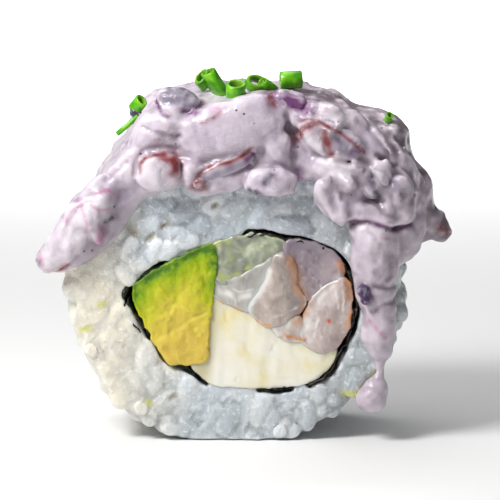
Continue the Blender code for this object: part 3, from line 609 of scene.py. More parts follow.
# Lines in the skin as (x, z): path, half width, height (below zero is a crease)
CREASES = (
    (((-14.2, 49.2), (-12.6, 48.5), (-11.0, 48.1), (-8.2, 47.8)), 0.3, -0.45),
    (((-10.6, 50.1), (-9.0, 49.7), (-7.2, 49.6)), 0.5, 0.5),
    (((-8.2, 40.4), (-8.1, 41.8), (-8.3, 43.2)), 0.5, -0.8),
    (((-15.4, 42.0), (-15.2, 43.8), (-14.0, 45.6), (-11.8, 46.1), (-9.0, 45.8)), 0.4, -0.5),
    (((-5.6, 41.0), (-4.2, 42.0), (-2.0, 42.6), (0.4, 43.3), (2.4, 44.6)), 0.6, -1.0),
    (((-4.6, 39.9), (-3.0, 41.3), (-0.4, 42.1), (2.0, 43.2)), 0.3, -0.35),
    (((7.6, 51.0), (7.9, 50.0), (7.6, 48.9), (8.6, 48.1), (9.0, 46.4)), 0.5, -0.9),
    (((7.2, 51.6), (7.5, 50.0), (6.6, 48.4)), 0.5, 0.35),
    (((9.2, 46.7), (11.0, 45.3), (13.4, 44.4), (17.2, 43.8)), 0.4, -0.5),
    (((11.9, 51.1), (14.4, 49.9), (16.4, 48.8), (18.4, 47.0)), 0.35, -0.5),
    (((17.0, 34.2), (18.2, 34.6), (19.9, 34.7), (21.8, 34.2), (23.9, 33.4), (26.8, 33.9)), 0.4, -1.1),
    (((16.8, 35.2), (18.2, 35.7), (19.9, 35.8), (21.8, 35.4), (23.9, 34.5), (26.4, 35.0)), 0.5, 0.5),
    (((23.4, 30.0), (23.6, 26.6), (22.4, 25.0)), 0.5, -0.5),
    (((21.2, 25.0), (23.0, 24.4), (25.0, 25.2)), 0.5, -0.8),
    (((20.8, 20.8), (22.4, 22.0), (24.4, 22.6)), 0.4, -0.5),
    (((19.2, 20.6), (19.8, 18.6)), 0.6, -0.5),
    (((-19.8, 40.8), (-17.6, 43.0), (-15.8, 44.4)), 0.35, -0.4),
    (((-22.6, 40.2), (-19.4, 42.6), (-16.8, 45.2)), 0.4, 0.4),
    (((-21.2, 42.2), (-18.6, 43.9)), 0.3, -0.3),
    (((-24.6, 38.0), (-22.6, 38.6), (-20.4, 39.0)), 0.3, -0.35),
    (((-26.2, 32.0), (-25.4, 35.0), (-23.2, 37.4)), 0.4, -0.35),
    (((-22.6, 36.8), (-22.2, 34.0)), 0.45, 0.35),
    (((-27.0, 30.4), (-25.6, 29.8), (-24.6, 30.8)), 0.4, -0.4),
    (((19.0, 50.6), (21.2, 48.6), (23.6, 45.4)), 0.4, 0.5),
    (((20.6, 51.2), (23.0, 49.0), (25.4, 45.8)), 0.4, -0.5),
    (((22.4, 47.2), (23.4, 45.6), (24.0, 43.8)), 0.3, 0.5),
    (((24.0, 47.4), (25.2, 45.4), (25.6, 43.4)), 0.3, 0.4),
    (((21.6, 45.0), (22.8, 43.2), (22.6, 41.6)), 0.4, -0.5),
    (((26.6, 42.4), (27.2, 40.0), (26.8, 37.6)), 0.4, -0.6),
    (((13.0, 52.6), (15.6, 52.0), (18.0, 50.8)), 0.4, 0.4),
    (((15.2, 41.8), (16.2, 38.6), (15.0, 36.4)), 0.4, -0.4),
    (((14.0, 42.4), (16.0, 42.6), (19.4, 42.6)), 0.4, -0.4),
)


def inside(outline, points):
    """True inside a closed outline: a line to the right crosses its sides an odd number of times."""
    x, z = points[..., 0], points[..., 1]
    odd = np.zeros(x.shape, bool)
    for (x0, z0), (x1, z1) in zip(outline, np.roll(outline, -1, 0)):
        if z0 != z1:
            odd ^= ((z0 > z) != (z1 > z)) & (x < x0 + (x1 - x0) * (z - z0) / (z1 - z0))
    return odd


def signed_distance(outline, points):
    """Distance to a closed outline, below zero inside it."""
    return distance_to(points, outline, closed=True) * np.where(inside(outline, points), -1, 1)


near_skin = np.abs(cream_field) < 2.2
place = space[near_skin]
# The stroke at the top is smooth, the right side rough, the drip calm again and the tongue lumpy
calm = np.exp(-(((place[:, 0] + 0.8) / 7.6) ** 2 + ((place[:, 2] - 48.6) / 3.6) ** 2) ** 2)
rough = 0.55 + 0.65 * eased((place[:, 0] - 6) / 8)
rough *= (1 - 0.75 * calm) * (0.45 + 0.55 * eased((place[:, 2] - 27) / 7))
rough += 0.8 * np.exp(-((place[:, 0] + 24) / 5) ** 2 - ((place[:, 2] - 33.5) / 5) ** 2)
slant = place @ np.array([[0.8, 0.1, 0.5], [0.0, 1.0, 0.0], [-0.25, 0.0, 0.6]])
swept = place @ np.array([[0.62, 0.0, 0.16], [0.0, 0.35, 0.0], [0.78, 0.0, -0.12]])
sweep = eased((place[:, 0] - 8) / 8) * eased((place[:, 2] - 36) / 6)
dents = 0.30 * noise(place, 5.2, 3) + rough * (0.42 * noise(place, 2.6, 4) + 0.30 * noise(slant, 1.35, 5))
dents += 0.10 * (1 - 0.6 * calm) * noise(place, 0.85, 9)
torn = np.abs(noise(slant, 2.1, 6))
lumps = 0.7 * np.clip(noise(place, 2.3, 8) - 0.30, 0, 1) + 0.35 * np.clip(0.35 - torn, 0, 1)
cream_field[near_skin] += dents - lumps * rough + 0.5 * sweep * noise(swept, 1.25, 7)
near_front = (np.abs(cream_field) < 1.6) & (space[..., 1] < -6)
place = space[near_front]
drawn = sum(0.7 * height * mark(place[:, (0, 2)], path, width) for path, width, height in CREASES)
cream_field[near_front] -= drawn * eased((-6 - place[:, 1]) / 3)
for centre in BLOBS:
    path = ((*centre, BLOB_RADIUS), (centre[0] + 0.2, *centre[1:], BLOB_RADIUS))
    into(cream_field, cream_room, run, (centre, BLOB_RADIUS + 2), 0.5, path)

flat = space[:, 0, :, :][..., (0, 2)]
core_distance = signed_distance(core[::2], flat)
PRESSED = 0.4
roll_ends = np.abs(space[..., 1]) - HALF_LENGTH
roll_field = np.maximum(core_distance[:, None, :] + PRESSED, roll_ends + PRESSED * 0.3)
cream_field = np.maximum(cream_field, -roll_field)
cream_volume = (cream_field < 0).sum() * cream_room[1] ** 3 / 1000
print(f"cream volume: {cream_volume:.1f} cubic centimetres")

# %% [markdown]
# The skin is drawn by *surface nets*: every grid cube that has corners both inside and outside gets
# one point, the middle of the places where its edges cross zero. Every grid edge that crosses zero
# has four cubes round it, and their four points make a face. It gives even quads with no slivers,
# which a smooth glossy sauce needs.

# %% From a field to a skin
def skin(field, grid):
    """Points in millimetres and quads facing outwards, where the field goes through zero."""
    below = field < 0
    size = np.array(field.shape) - 1
    corners = np.array(list(np.ndindex(2, 2, 2)))
    count = sum(below[a:a + size[0], b:b + size[1], c:c + size[2]].astype(np.int8) for a, b, c in corners)
    cubes = np.argwhere((count > 0) & (count < 8))
    number = np.full(size, -1)
    number[tuple(cubes.T)] = np.arange(len(cubes))
    total, crossings = np.zeros((len(cubes), 3)), np.zeros(len(cubes))
    for start in corners:
        for end in corners:
            if (end - start).sum() == 1 and np.abs(end - start).sum() == 1:
                a, b = field[tuple((cubes + start).T)], field[tuple((cubes + end).T)]
                crosses = (a < 0) != (b < 0)
                share = np.where(crosses, a / np.where(crosses, a - b, 1), 0)
                total += np.where(crosses[:, None], start + (end - start) * share[:, None], 0)
                crossings += crosses
    points = grid[0] + (cubes + total / crossings[:, None]) * grid[1]
    quads = []
    for axis in range(3):
        step, u, v = (np.eye(3, dtype=int)[(axis + k) % 3] for k in range(3))
        grid = np.argwhere(np.diff(below.astype(np.int8), axis=axis) != 0)
        keep = ((grid - u - v >= 0) & (grid < size)).all(1)
        grid = grid[keep]
        quad = np.stack([number[tuple((grid - shift).T)] for shift in (u + v, v, 0 * u, u)], 1)
        leaving = below[tuple(grid.T)]
        quads.append(np.where(leaving[:, None], quad, quad[:, ::-1]))
    return points, np.concatenate(quads)


def field_at(field, grid, points):
    """The field between its grid points, blended along the three axes."""
    place = np.clip((points - grid[0]) / grid[1], 0, np.array(field.shape) - 1.001)
    cell = place.astype(int)
    f = place - cell
    total = np.zeros(len(points))
    for corner in np.ndindex(2, 2, 2):
        total += np.prod(np.where(corner, f, 1 - f), axis=1) * field[tuple((cell + corner).T)]
    return total


def hollows(field, grid, points, reach):
    """How concave the skin is at each point, from -1 (ridge) to 1 (hollow): the field at the six
    neighbours so many cells away, less six times the field itself, over the squared distance. For a
    ball of radius R that sum is 2 / R, so a hollow has it below zero."""
    padded = np.pad(field, reach, mode="edge")
    size, total = field.shape, -6 * field
    for axis in range(3):
        for shift in (0, 2 * reach):
            start = [reach] * 3
            start[axis] = shift
            total = total + padded[tuple(slice(a, a + n) for a, n in zip(start, size))]
    return np.tanh(-1.2 * field_at(total, grid, points) / (reach * grid[1]) ** 2)


cream_points, cream_faces = skin(cream_field, cream_room)
print("cream skin:", len(cream_points), "points", len(cream_faces), "quads")

# %% [markdown]
# The finish of the cream: an emulsion of oil and egg, white with a little pink and grey from the
# octopus. Light goes about a millimetre into it, which softens the shadows, and the oil gives a
# smooth coat. Where a line of skin runs near the surface its colour shows, broken up by noise. The
# dark specks are a fine scatter of cells about 1.6 mm apart, each with a dot of 0.15 mm at its middle.
# Light and shade are painted into the colour as well: painted shade in the hollows, on the right side,
# at the back, on the drip and down the tongue's lower right side, and painted highlight on the bulges
# and on a few lit faces.

# %% Finish of the cream
cream_material, tree, place = new_material("emulsion_cream_stirred", {
    "Roughness": 0.3, "IOR": 1.46, "Subsurface Weight": 0.7, "Subsurface Radius": (1.0, 0.8, 0.84),
    "Subsurface Scale": 0.0006, "Coat Weight": 0.3, "Coat Roughness": 0.12, "Coat IOR": 1.46,
})
broad = add(tree, "TexNoise", {"Vector": place, "Scale": 170.0, "Detail": 4.0, "Distortion": 0.6})
stretched = add(tree, "Mapping", {"Vector": place, "Scale": (1.0, 1.0, 1.5), "Rotation": (0.0, 0.6, 0.0)})
streaks = add(tree, "TexNoise", {"Vector": stretched, "Scale": 360.0, "Detail": 4.0, "Distortion": 0.9})
specks = add(tree, "TexVoronoi", {"Vector": place, "Scale": 620.0})
pale = add(tree, "ValToRGB", {"Fac": broad}, stops=(
    (0.30, "#c3b6c4"), (0.50, "#d5c9d6"), (0.70, "#e3d9e1")))
streaked = add(tree, "ValToRGB", {"Fac": streaks}, stops=((0.56, BLACK), (0.66, 0.28), (0.78, BLACK)))
# Coats over the pale base: pink streaks; painted shade in hollows; random blotches together with painted shade on
# the right side, back and drip; pale flesh together with painted highlight; painted shade beside the tongue; dark
# streaks that darken the back and right as painted shade.
colour = coated(tree, pale, (streaked, "#9f86a2"), ("hollow", "#8c7b8c"), ("mauve", "#94838f"),
                ("ridge", "#f1eaf0"), ("shade", "#7d6e82"), ("streak_and_painted_shade", "#66555f"))
flecked = add(tree, "TexNoise", {"Vector": place, "Scale": 900.0, "Detail": 4.0, "Distortion": 0.5})
worn = add(tree, "ValToRGB", {"Fac": flecked}, stops=((0.36, 0.4), (0.54, WHITE)))
SKIN_COLOURS = {"grey": "#8f8799", "pink": "#b8749a", "purple": "#774878", "red": "#84393c", "dark": "#3d3850",
                "violet": "#432a58"}
for kind, tint in SKIN_COLOURS.items():
    amount = add(tree, "Attribute", attribute_name="skin_" + kind)
    share = add(tree, "Math", {0: amount.outputs["Fac"], 1: worn}, operation="MULTIPLY")
    colour = coated(tree, colour, (share, tint))
middles = add(tree, "ValToRGB", {"Fac": specks}, stops=((0.08, WHITE), (0.14, BLACK)))
picked = add(tree, "Math", {0: specks.outputs["Color"], 1: 0.70}, operation="GREATER_THAN")
dots = add(tree, "Math", {0: middles, 1: picked}, operation="MULTIPLY")
dress(tree, coated(tree, colour, (dots, "#5d4258")), (streaks, 0.3, 0.0005), (flecked, 0.5, 0.0003))


# %% Colour of the skin under the film
def skin_marks(points, strength):
    """One number a point for each colour of skin: its lines, stronger and weaker along their way by
    noise, and the blobs of skin on the drip and at the top left."""
    at, front = points[:, (0, 2)], eased((-5 - points[:, 1]) / 2)
    strength = strength * front * (0.95 + 0.4 * noise(points, 1.0, 99))
    marks = {kind: np.clip(strength * strongest(at, lines), 0, 1) for kind, lines in SKIN.items()}
    marks["pink"] *= 0.75
    marks["violet"] = 0 * front
    for kind, centre in zip(("violet", "violet", "dark", "red"), BLOBS):
        away = np.linalg.norm(points - np.array(centre), axis=1)
        blob = eased((1.6 * BLOB_RADIUS - away) / 0.5 + 0.4 * noise(points, 0.7, 98))
        marks[kind] = np.maximum(marks[kind], blob)
    return {"skin_" + kind: values for kind, values in marks.items()}


TONGUE_SHADE = ((-17.2, 39.2), (-17.6, 36.6), (-18.8, 34.0), (-21.4, 30.8), (-23.6, 28.8))
marks = skin_marks(cream_points, 0.95)
bent = hollows(cream_field, cream_room, cream_points, 2)
x, y, z = cream_points.T
at = cream_points[:, (0, 2)]
blotches = 0.45 * noise(cream_points, 2.2, 15) + 0.4 * noise(cream_points, 0.9, 16)
# Masks of painted shade: the upper right side, the back towards the right and the lower drip, which are painted
# darker as if turned from the light.
shaded_right_side = eased((x - 6) / 12) * eased((z - 30) / 10)
behind = eased((y + 11.5) / 4) * eased((x - 5) / 6) * eased((2 - y) / 6)
drip = eased((x - 15) / 3) * eased((33 - z) / 3)
# Painted shade: the hollow mark darkens the cream where its skin is concave.
marks["hollow"] = 0.5 * np.clip(bent - 0.1, 0, 1)
# The ridge mark is pale flesh and painted highlight: the places above, and every bulge, are painted lighter.
marks["ridge"] = 0.6 * eased((-9 - y) / 2) * strongest(at, PALE_FLESH_AND_LIT_PLACES)
marks["ridge"] = np.maximum(marks["ridge"], 0.4 * np.clip(-bent - 0.3, 0, 1))
# Dark streaks laid only at the back and right, where they also darken the cream as painted shade.
marks["streak_and_painted_shade"] = 0.75 * behind * eased((noise(cream_points * [1.0, 0.5, 1.3], 1.5, 17) + 0.1) / 0.5)
marks["shade"] = 0.6 * eased((-6 - y) / 2) * mark(at, TONGUE_SHADE, 1.7)
# The mauve mark: random blotches everywhere, plus painted shade on the right side, at the back and on the drip.
marks["mauve"] = np.clip(shaded_right_side * (0.2 + blotches) + behind * (0.55 + 0.9 * blotches) + 0.1 + 0.25 * blotches
                         + 0.28 * drip, 0, 0.85)
make_piece("octopus_cream", cream_points, cream_faces, cream_material, ("cream",), marks)

# %% [markdown]
# The slices themselves lie just under the film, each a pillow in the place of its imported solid. Their
# flesh is white and a little blue, with the same lines of skin, so that a line runs on unbroken from
# the cream to the slice.

# %% Octopus slices
PILLOW_AROUND, PILLOW_RINGS = 96, 56
octopus_material, tree, place = new_material("cooked_octopus_slice", {
    "Roughness": 0.3, "IOR": 1.4, "Subsurface Weight": 0.6, "Subsurface Radius": (1.0, 0.7, 0.75),
    "Subsurface Scale": 0.0008, "Coat Weight": 0.25, "Coat Roughness": 0.12,
})
blotch = add(tree, "TexNoise", {"Vector": place, "Scale": 520.0, "Detail": 5.0, "Distortion": 1.0})
flesh = add(tree, "ValToRGB", {"Fac": blotch}, stops=(
    (0.35, "#c9bccb"), (0.55, "#ded2dd"), (0.7, "#ece4ea")))
skin_coats = [("skin_" + kind, tint) for kind, tint in SKIN_COLOURS.items()]
dress(tree, coated(tree, flesh, *skin_coats), (blotch, 0.35, 0.0003))


def pillow():
    """Directions and faces of a superellipsoid: with p = 2 / squareness, x = cos(v)^p cos(u)^p,
    z = cos(v)^p sin(u)^p, y = sin(v)^p, with a point at each pole."""
    u = np.linspace(0, 2 * math.pi, PILLOW_AROUND, endpoint=False)
    v = np.linspace(-math.pi / 2, math.pi / 2, PILLOW_RINGS + 2)[1:-1]
    power = 2 / PILLOW_SQUARENESS

    def rounded(value):
        return np.sign(value) * np.abs(value) ** power

    ring, rise = rounded(np.cos(v))[:, None], rounded(np.sin(v))[:, None]
    unit = np.stack([ring * rounded(np.cos(u)), np.broadcast_to(rise, (PILLOW_RINGS, PILLOW_AROUND)),
                     ring * rounded(np.sin(u))], -1).reshape(-1, 3)
    count = len(unit)
    fans = end_fans(PILLOW_AROUND, count - PILLOW_AROUND, (count, count + 1))
    sides = grid_faces(PILLOW_RINGS, PILLOW_AROUND)
    return np.vstack([unit, [0, -1, 0], [0, 1, 0]]), [fans[:, ::-1], sides[:, ::-1]]


unit, faces = pillow()
for seed, (name, (centre, radii, tilt, lean)) in enumerate(SLICES.items()):
    local = unit * np.array(radii) * uneven(unit, radii, seed)[:, None]
    points = local @ TURNS[name].T + np.array(centre)
    make_piece(name + "_slice", points, faces, octopus_material, (name,), skin_marks(points, 1.0))

# %% [markdown]
# ## The rice
#
# Sushi rice is short: a cooked grain is about 6 mm long and 2.8 mm thick, blunt at both ends. Here it
# is pressed so hard that the grains melt into each other, and the knife has cut the outer ones flat.
# Grains scattered loosely over a ring would look like pebbles. So each grain is a distance function,
# smoothly joined to its neighbours, which gives the sticky mass. Some at the sides and the back are made
# a second time from the same numbers, as meshes that stand a tenth of a millimetre out of that mass.

# %% Where the grains lie
NORI_PATH = (
    (-16.7, 22.4), (-15.1, 19.2), (-12.2, 15.0), (-10.0, 12.3), (-7.4, 11.4), (-4.0, 8.9), (0.0, 8.2),
    (6.0, 8.1), (11.6, 9.0), (14.6, 11.0), (15.8, 13.4), (17.4, 16.4), (18.4, 20.0), (18.2, 23.4),
    (16.4, 27.8), (13.0, 30.3), (8.0, 31.5), (3.2, 32.4), (-3.5, 31.0), (-10.8, 27.7), (-14.7, 25.2),
)
GRAIN_HALF, GRAIN_WIDE, GRAIN_THICK = 2.9, 1.5, 1.26
nori_path = closed_curve(NORI_PATH, 200)


def scattered(width, height, spacing, rng):
    """A hexagonal grid of places over a rectangle, each shifted by up to a third of the spacing."""
    rows, columns = int(height / (spacing * 0.87)), int(width / spacing)
    row, column = np.meshgrid(np.arange(rows), np.arange(columns), indexing="ij")
    u = (column + (row % 2) / 2 + 0.25) / columns * width
    v = (row + 0.5) / rows * height
    places = np.stack([u, v], -1).reshape(-1, 2)
    return places + rng.uniform(-0.34, 0.34, places.shape) * spacing


rng = np.random.default_rng(5)
side_line = closed_curve(CORE_OUTLINE, 1200)
side_out = outward(side_line)
step_length = np.linalg.norm(np.roll(side_line, -1, 0) - side_line, axis=1)
around_length = np.concatenate([[0], np.cumsum(step_length)])
layers = []
for depth, spacing in ((0.3, 2.9), (1.3, 3.2)):
    flat_places = scattered(around_length[-1], 2 * HALF_LENGTH - 1.2, spacing, rng)
    index = np.clip(np.searchsorted(around_length, flat_places[:, 0] % around_length[-1]) - 1, 0, 1199)
    out = np.column_stack([side_out[index, 0], 0 * index, side_out[index, 1]])
    places = np.column_stack([side_line[index, 0], flat_places[:, 1] - HALF_LENGTH + 0.6, side_line[index, 1]])
    places -= out * (depth + rng.uniform(-0.3, 0.3, len(index)))[:, None]
    layers.append((places, out))
for depth, spacing in ((0.75, 3.7), (1.8, 3.2)):
    for end in (-1, 1):
        flat_places = scattered(54, 46, spacing, rng) - np.array([27, 1.5])
        reach = distance_to(flat_places, core[::4], closed=True)
        from_hole = distance_to(flat_places, nori_path[::2], closed=True)
        on_ring = inside(core[::2], flat_places) & ~inside(nori_path, flat_places)
        flat_places = flat_places[on_ring & (reach > 0.7) & (from_hole > 1.0)]
        depth_here = HALF_LENGTH - depth + rng.uniform(-0.28, 0.28, len(flat_places))
        places = np.column_stack([flat_places[:, 0], end * depth_here, flat_places[:, 1]])
        layers.append((places, np.tile([0.0, end, 0.0], (len(places), 1))))
places = np.vstack([layer[0] for layer in layers])
out = np.vstack([layer[1] for layer in layers])
uncovered = field_at(cream_field, cream_room, places) > -1.0
places, out = places[uncovered], out[uncovered]
print("places for grains:", len(places))


# %% The frame of each grain
def grain_frames(places, out, rng):
    """Axes and sizes of the grains. They lie flat to the surface with a small tilt; on the cut face they
    follow a direction that drifts slowly, about 40 degrees up to the right over the filling."""
    count = len(places)
    drift = np.radians(40 + 75 * noise(places, 13.0, 33) + rng.normal(0, 26, count))
    sideways = rng.normal(0, 0.7, count) * (np.abs(out[:, 1]) < 0.5)
    along = np.column_stack([np.cos(drift), sideways, np.sin(drift)])
    along -= out * (along * out).sum(1)[:, None]
    along /= np.linalg.norm(along, axis=1)[:, None]
    tilt = rng.normal(0, 0.22, count)[:, None]
    along, out = along * np.cos(tilt) + out * np.sin(tilt), out * np.cos(tilt) - along * np.sin(tilt)
    size = rng.uniform(0.86, 1.1, (count, 1)) * np.array([GRAIN_HALF, GRAIN_WIDE, GRAIN_THICK])
    size[:, 0] *= rng.uniform(0.82, 1.08, count)
    return np.stack([along, np.cross(out, along), out], 1), size, rng.uniform(-0.32, 0.32, count)


def grain_distance(points, place, axes, size, bend):
    """First-order distance to a grain: (s - 1) over the length of the slope of s, where s is the cube
    root of |u|^3 + r^3, u the share of the half length and r the distance from the bent middle line,
    over the grain's width and thickness."""
    local = (points - place) @ axes.T
    u = local[..., 0] / size[0]
    r = np.hypot((local[..., 1] - bend * (u * u - 0.4)) / size[1], local[..., 2] / size[2])
    s = np.cbrt(np.abs(u) ** 3 + r**3) + 1e-6
    slope = np.hypot(u * u / size[0], r * r / size[2]) / (s * s) + 1e-6
    return (s - 1) / slope


grain_axes, grain_sizes, grain_bends = grain_frames(places, out, rng)
clear = np.ones(len(places), bool)
for share in (-0.9, -0.5, 0.5, 0.9):
    along = (places + share * grain_axes[:, 0] * grain_sizes[:, :1])[:, (0, 2)]
    clear &= ~inside(nori_path, along) & (distance_to(along, nori_path[::2], closed=True) > 0.5)
places, grain_axes, grain_sizes, grain_bends = (
    values[clear] for values in (places, grain_axes, grain_sizes, grain_bends))
# Six grains at the upper left hang over the seaweed: (x, z) and how far each is turned up, in degrees
OVERHANG = (
    ((-17.0, 26.2), -55), ((-14.9, 27.6), 25), ((-12.6, 29.6), 62), ((-10.4, 29.9), 30),
    ((-16.2, 30.0), 70), ((-7.6, 31.3), 18),
)
first_over = len(places)
over = np.radians([turn for place, turn in OVERHANG])
over_axes = np.stack([np.column_stack([np.cos(over), 0 * over, np.sin(over)]),
                      np.column_stack([np.sin(over), 0 * over, -np.cos(over)]),
                      np.tile([0.0, -1.0, 0.0], (len(over), 1))], 1)
places = np.vstack([places, [(place[0], -12.0, place[1]) for place, turn in OVERHANG]])
grain_axes = np.concatenate([grain_axes, over_axes])
grain_sizes = np.vstack([grain_sizes, np.tile([2.1, 1.3, 1.05], (len(over), 1))])
grain_bends = np.concatenate([grain_bends, 0.2 * np.cos(over)])
print("grains:", len(places))


def between(value, low, high, soft):
    """1 between low and high, with a soft start and end of the given width inside them."""
    return eased((value - low) / soft) * eased((high - value) / soft)


def hidden(at):
    """From 0 to 1: where the grains close over the edge of the seaweed, under the cheese and over the
    avocado."""
    x, z = at[..., 0], at[..., 1]
    under = between(x, -4.7, 3.6, 0.9) + 0.7 * between(x, 8.6, 11.4, 0.7)
    return under * (z < 16) + between(x, -11.0, 1.6, 1.2) * (z > 22)


# %% [markdown]
# The mass under the grains is a ring: the roll's outline less the room for the seaweed, less than its
# length. Its cut ends are flat with a little noise, as the knife leaves them, and a few pits go in where
# grains fell out. It stands on its flattened underside.

# %% The pressed mass
rice_room = room((-27.8, -13.9, -1.6), (27.8, 13.9, 45.0), 0.38)
space = rice_room[2]
flat = space[:, 0, :, :][..., (0, 2)]
from_outline = signed_distance(core[::2], flat)
from_hole = distance_to(flat, nori_path[::2], closed=True) * np.where(inside(nori_path, flat), -1, 1)
ring = np.maximum(from_outline + 0.8, 0.75 - from_hole - 1.2 * hidden(flat))
rice_field = np.maximum(ring[:, None, :], np.abs(space[..., 1]) - HALF_LENGTH + 0.05)
rice_field += 0.15 * noise(space, 2.6, 34)
FAR = 9.0
nearest = np.full(rice_field.shape, FAR)
second = np.full(rice_field.shape, FAR)
owner = np.zeros(rice_field.shape, int)
# The grains melt into each other over half a millimetre, the dry ones at the left over twice that
melting = 0.5 + 0.6 * eased((-13 - places[:, 0]) / 4)
melting[first_over:] = 0.2


def join_grains(numbers):
    """Joins grains into the mass, and notes at each grid point which grain is the nearest, how far off
    it is and how far off the second nearest is."""
    for number in numbers:
        box = box_round(rice_room, places[number], grain_sizes[number, 0] + 0.9)
        away = grain_distance(space[box], *(values[number] for values in (
            places, grain_axes, grain_sizes, grain_bends)))
        second[box] = np.minimum(second[box], np.maximum(nearest[box], away))
        owner[box] = np.where(away < nearest[box], number, owner[box])
        nearest[box] = np.minimum(nearest[box], away)
        rice_field[box] = smooth_least(rice_field[box], away, melting[number])


def cut_by_knife(field, beyond, size, seed, width):
    """The field less what stands further out than so far beyond the cut, where the blade wavers by noise
    of the given size; the edge is rounded by the width."""
    knife = np.abs(space[..., 1]) - HALF_LENGTH - beyond + 0.16 * noise(space, size, seed)
    return -smooth_least(-field, -knife, width)


join_grains(range(first_over))
rice_field = cut_by_knife(rice_field, 0.42, 3.4, 35, 0.5)
edge_room = 0.16 + 0.3 * eased((flat[..., 0] - 7) / 5) + 0.14 * eased((flat[..., 1] - 24) / 3)
rice_field = np.maximum(rice_field, (edge_room - from_hole - 1.2 * hidden(flat))[:, None, :])
join_grains(range(first_over, len(places)))
rice_field = cut_by_knife(rice_field, 0.72, 2.4, 36, 0.4)
seams = np.exp(-(((second - nearest) / 0.30) ** 2)) * (nearest < 0.6)
PITS = (
    ((-10.9, 33.8), 0.6), ((-3.3, 36.8), 0.5), ((11.9, 32.7), 0.6), ((-13.2, 31.9), 0.7), ((6.9, 5.5), 0.6),
    ((-9.8, 6.8), 0.6), ((-5.6, 2.6), 0.6),
)
for (x, z), radius in PITS:
    centre = (x, -12.6, z)
    into(rice_field, rice_room, heap, (centre, 3.0), -0.5, centre, (1.7 * radius, 1.0, 0.6 * radius), 42, 2.0)
rice_field += 0.15 * seams * eased(0.55 + noise(space, 4.2, 37)) * (1 - 0.7 * eased((-12 - space[..., 0]) / 4))
rice_field = -smooth_least(-rice_field, space[..., 2] - 0.1, 0.3)
rice_points, rice_faces = skin(rice_field, rice_room)
rice_points[:, 2] = np.maximum(rice_points[:, 2], 0.01)
print("pressed mass:", len(rice_points), "points")

# %% The grains' own meshes
GRAIN_AROUND, GRAIN_RINGS = 8, 6


def grain_form():
    """Rings of eight points at the share t of the half length, with the radius that the grain's distance
    function gives there, (1 - |t|^3)^(1/3), and a point at each tip."""
    t = np.sin(np.linspace(-math.pi / 2, math.pi / 2, GRAIN_RINGS + 2))[1:-1] * 0.985
    girth = np.cbrt(1 - np.abs(t) ** 3)
    angle = np.linspace(0, 2 * math.pi, GRAIN_AROUND, endpoint=False)
    rings = np.column_stack([np.repeat(t, GRAIN_AROUND), (girth[:, None] * np.cos(angle)).ravel(),
                             (girth[:, None] * np.sin(angle)).ravel()])
    points = np.vstack([[-1, 0, 0], rings, [1, 0, 0]])
    last = len(points) - 1
    tips = end_fans(GRAIN_AROUND, last - GRAIN_AROUND, (0, last), 1)
    return points, tips, grid_faces(GRAIN_RINGS, GRAIN_AROUND, 1)


def grains(places, axes, sizes, bends):
    """All grains at once: place + along * length + side * (width + bend * (t^2 - 0.4)) + out * thickness."""
    form, tips, sides = grain_form()
    local = form[None] * sizes[:, None]
    local[..., 1] += bends[:, None] * (form[:, 0] ** 2 - 0.4)
    points = places[:, None] + local @ axes
    shift = (np.arange(len(places)) * len(form))[:, None, None]
    return points, [(group[None] + shift).reshape(-1, group.shape[1]) for group in (tips, sides)]


CUT_AT, BEYOND_CUT = 12.45, 0.25


def cut_flat(points):
    """What stands beyond the cut by b is pressed back to a quarter of a millimetre times 1 - e^(-2b)."""
    reach = np.abs(points[..., 1])
    pressed = BEYOND_CUT * (1 - np.exp(-np.maximum(reach - CUT_AT, 0) / 0.5))
    points[..., 1] = np.sign(points[..., 1]) * (np.minimum(reach, CUT_AT) + pressed)
    points[..., 2] = np.maximum(points[..., 2], 0.02)
    return points


# %% [markdown]
# A cooked grain is half clear at its rim and milky in its heart, which is light scattering inside it.
# Subsurface scattering over more than a millimetre gives that, and lets neighbours melt together. The
# grains differ a little: some are warm white, some cool and clear. Each point carries the number of
# its grain's tone; how close it is to the seam with the next grain, darker there, together with painted
# shade in the hollows, at the right and at the bottom; painted highlight on the bulges; painted warm
# light, lighter and warmer towards the left where the light falls; painted glints; and the marks of a
# few yellow and brown specks, the brown ones also painted shade in the pits. A loose grain gets the
# same graph with a shorter scatter: its hidden end lies in the mass, and light that went there would be
# lost.

# %% Finish of the rice
def rice_finish(name, scatter, weight):
    """The graph of the rice for one length of scatter, in metres, and one share of it."""
    material, tree, place = new_material(name, {
        "Roughness": 0.34, "IOR": 1.4, "Subsurface Weight": weight, "Subsurface Radius": (1.0, 0.97, 0.95),
        "Subsurface Scale": scatter, "Coat Weight": 0.35, "Coat Roughness": 0.1, "Coat IOR": 1.36,
    })
    batch = add(tree, "Attribute", attribute_name="batch")
    milky = add(tree, "TexNoise", {"Vector": place, "Scale": 420.0, "Detail": 5.0})
    mixed = add(tree, "Math", {0: batch.outputs["Fac"], 1: milky}, operation="ADD")
    halved = add(tree, "Math", {0: mixed, 1: 0.5}, operation="MULTIPLY")
    tone = add(tree, "ValToRGB", {"Fac": halved}, stops=(
        (0.15, "#b7c0c8"), (0.45, "#cfd6dc"), (0.8, "#e6e9eb")))
    fine = add(tree, "TexNoise", {"Vector": place, "Scale": 1500.0, "Detail": 4.0})
    # Painted glints: fine white dots laid into the colour as small highlights.
    painted_glints = add(tree, "ValToRGB", {"Fac": fine}, stops=((0.56, BLACK), (0.68, 0.55)))
    colour = coated(tree, tone, ("painted_warm_light", "#f0e8d4"), ("seam_and_painted_shade", "#a3a8a8"), ("ridge", "#f6f8f9"),
                    ("brown", "#a3977a"), ("yellow", "#cfd055"), (painted_glints, "#f9fbfc"))
    grainy = add(tree, "TexNoise", {"Vector": place, "Scale": 480.0, "Detail": 3.0, "Distortion": 0.6})
    dress(tree, colour, (grainy, 0.6, 0.0006), (fine, 0.8, 0.0004))
    return material


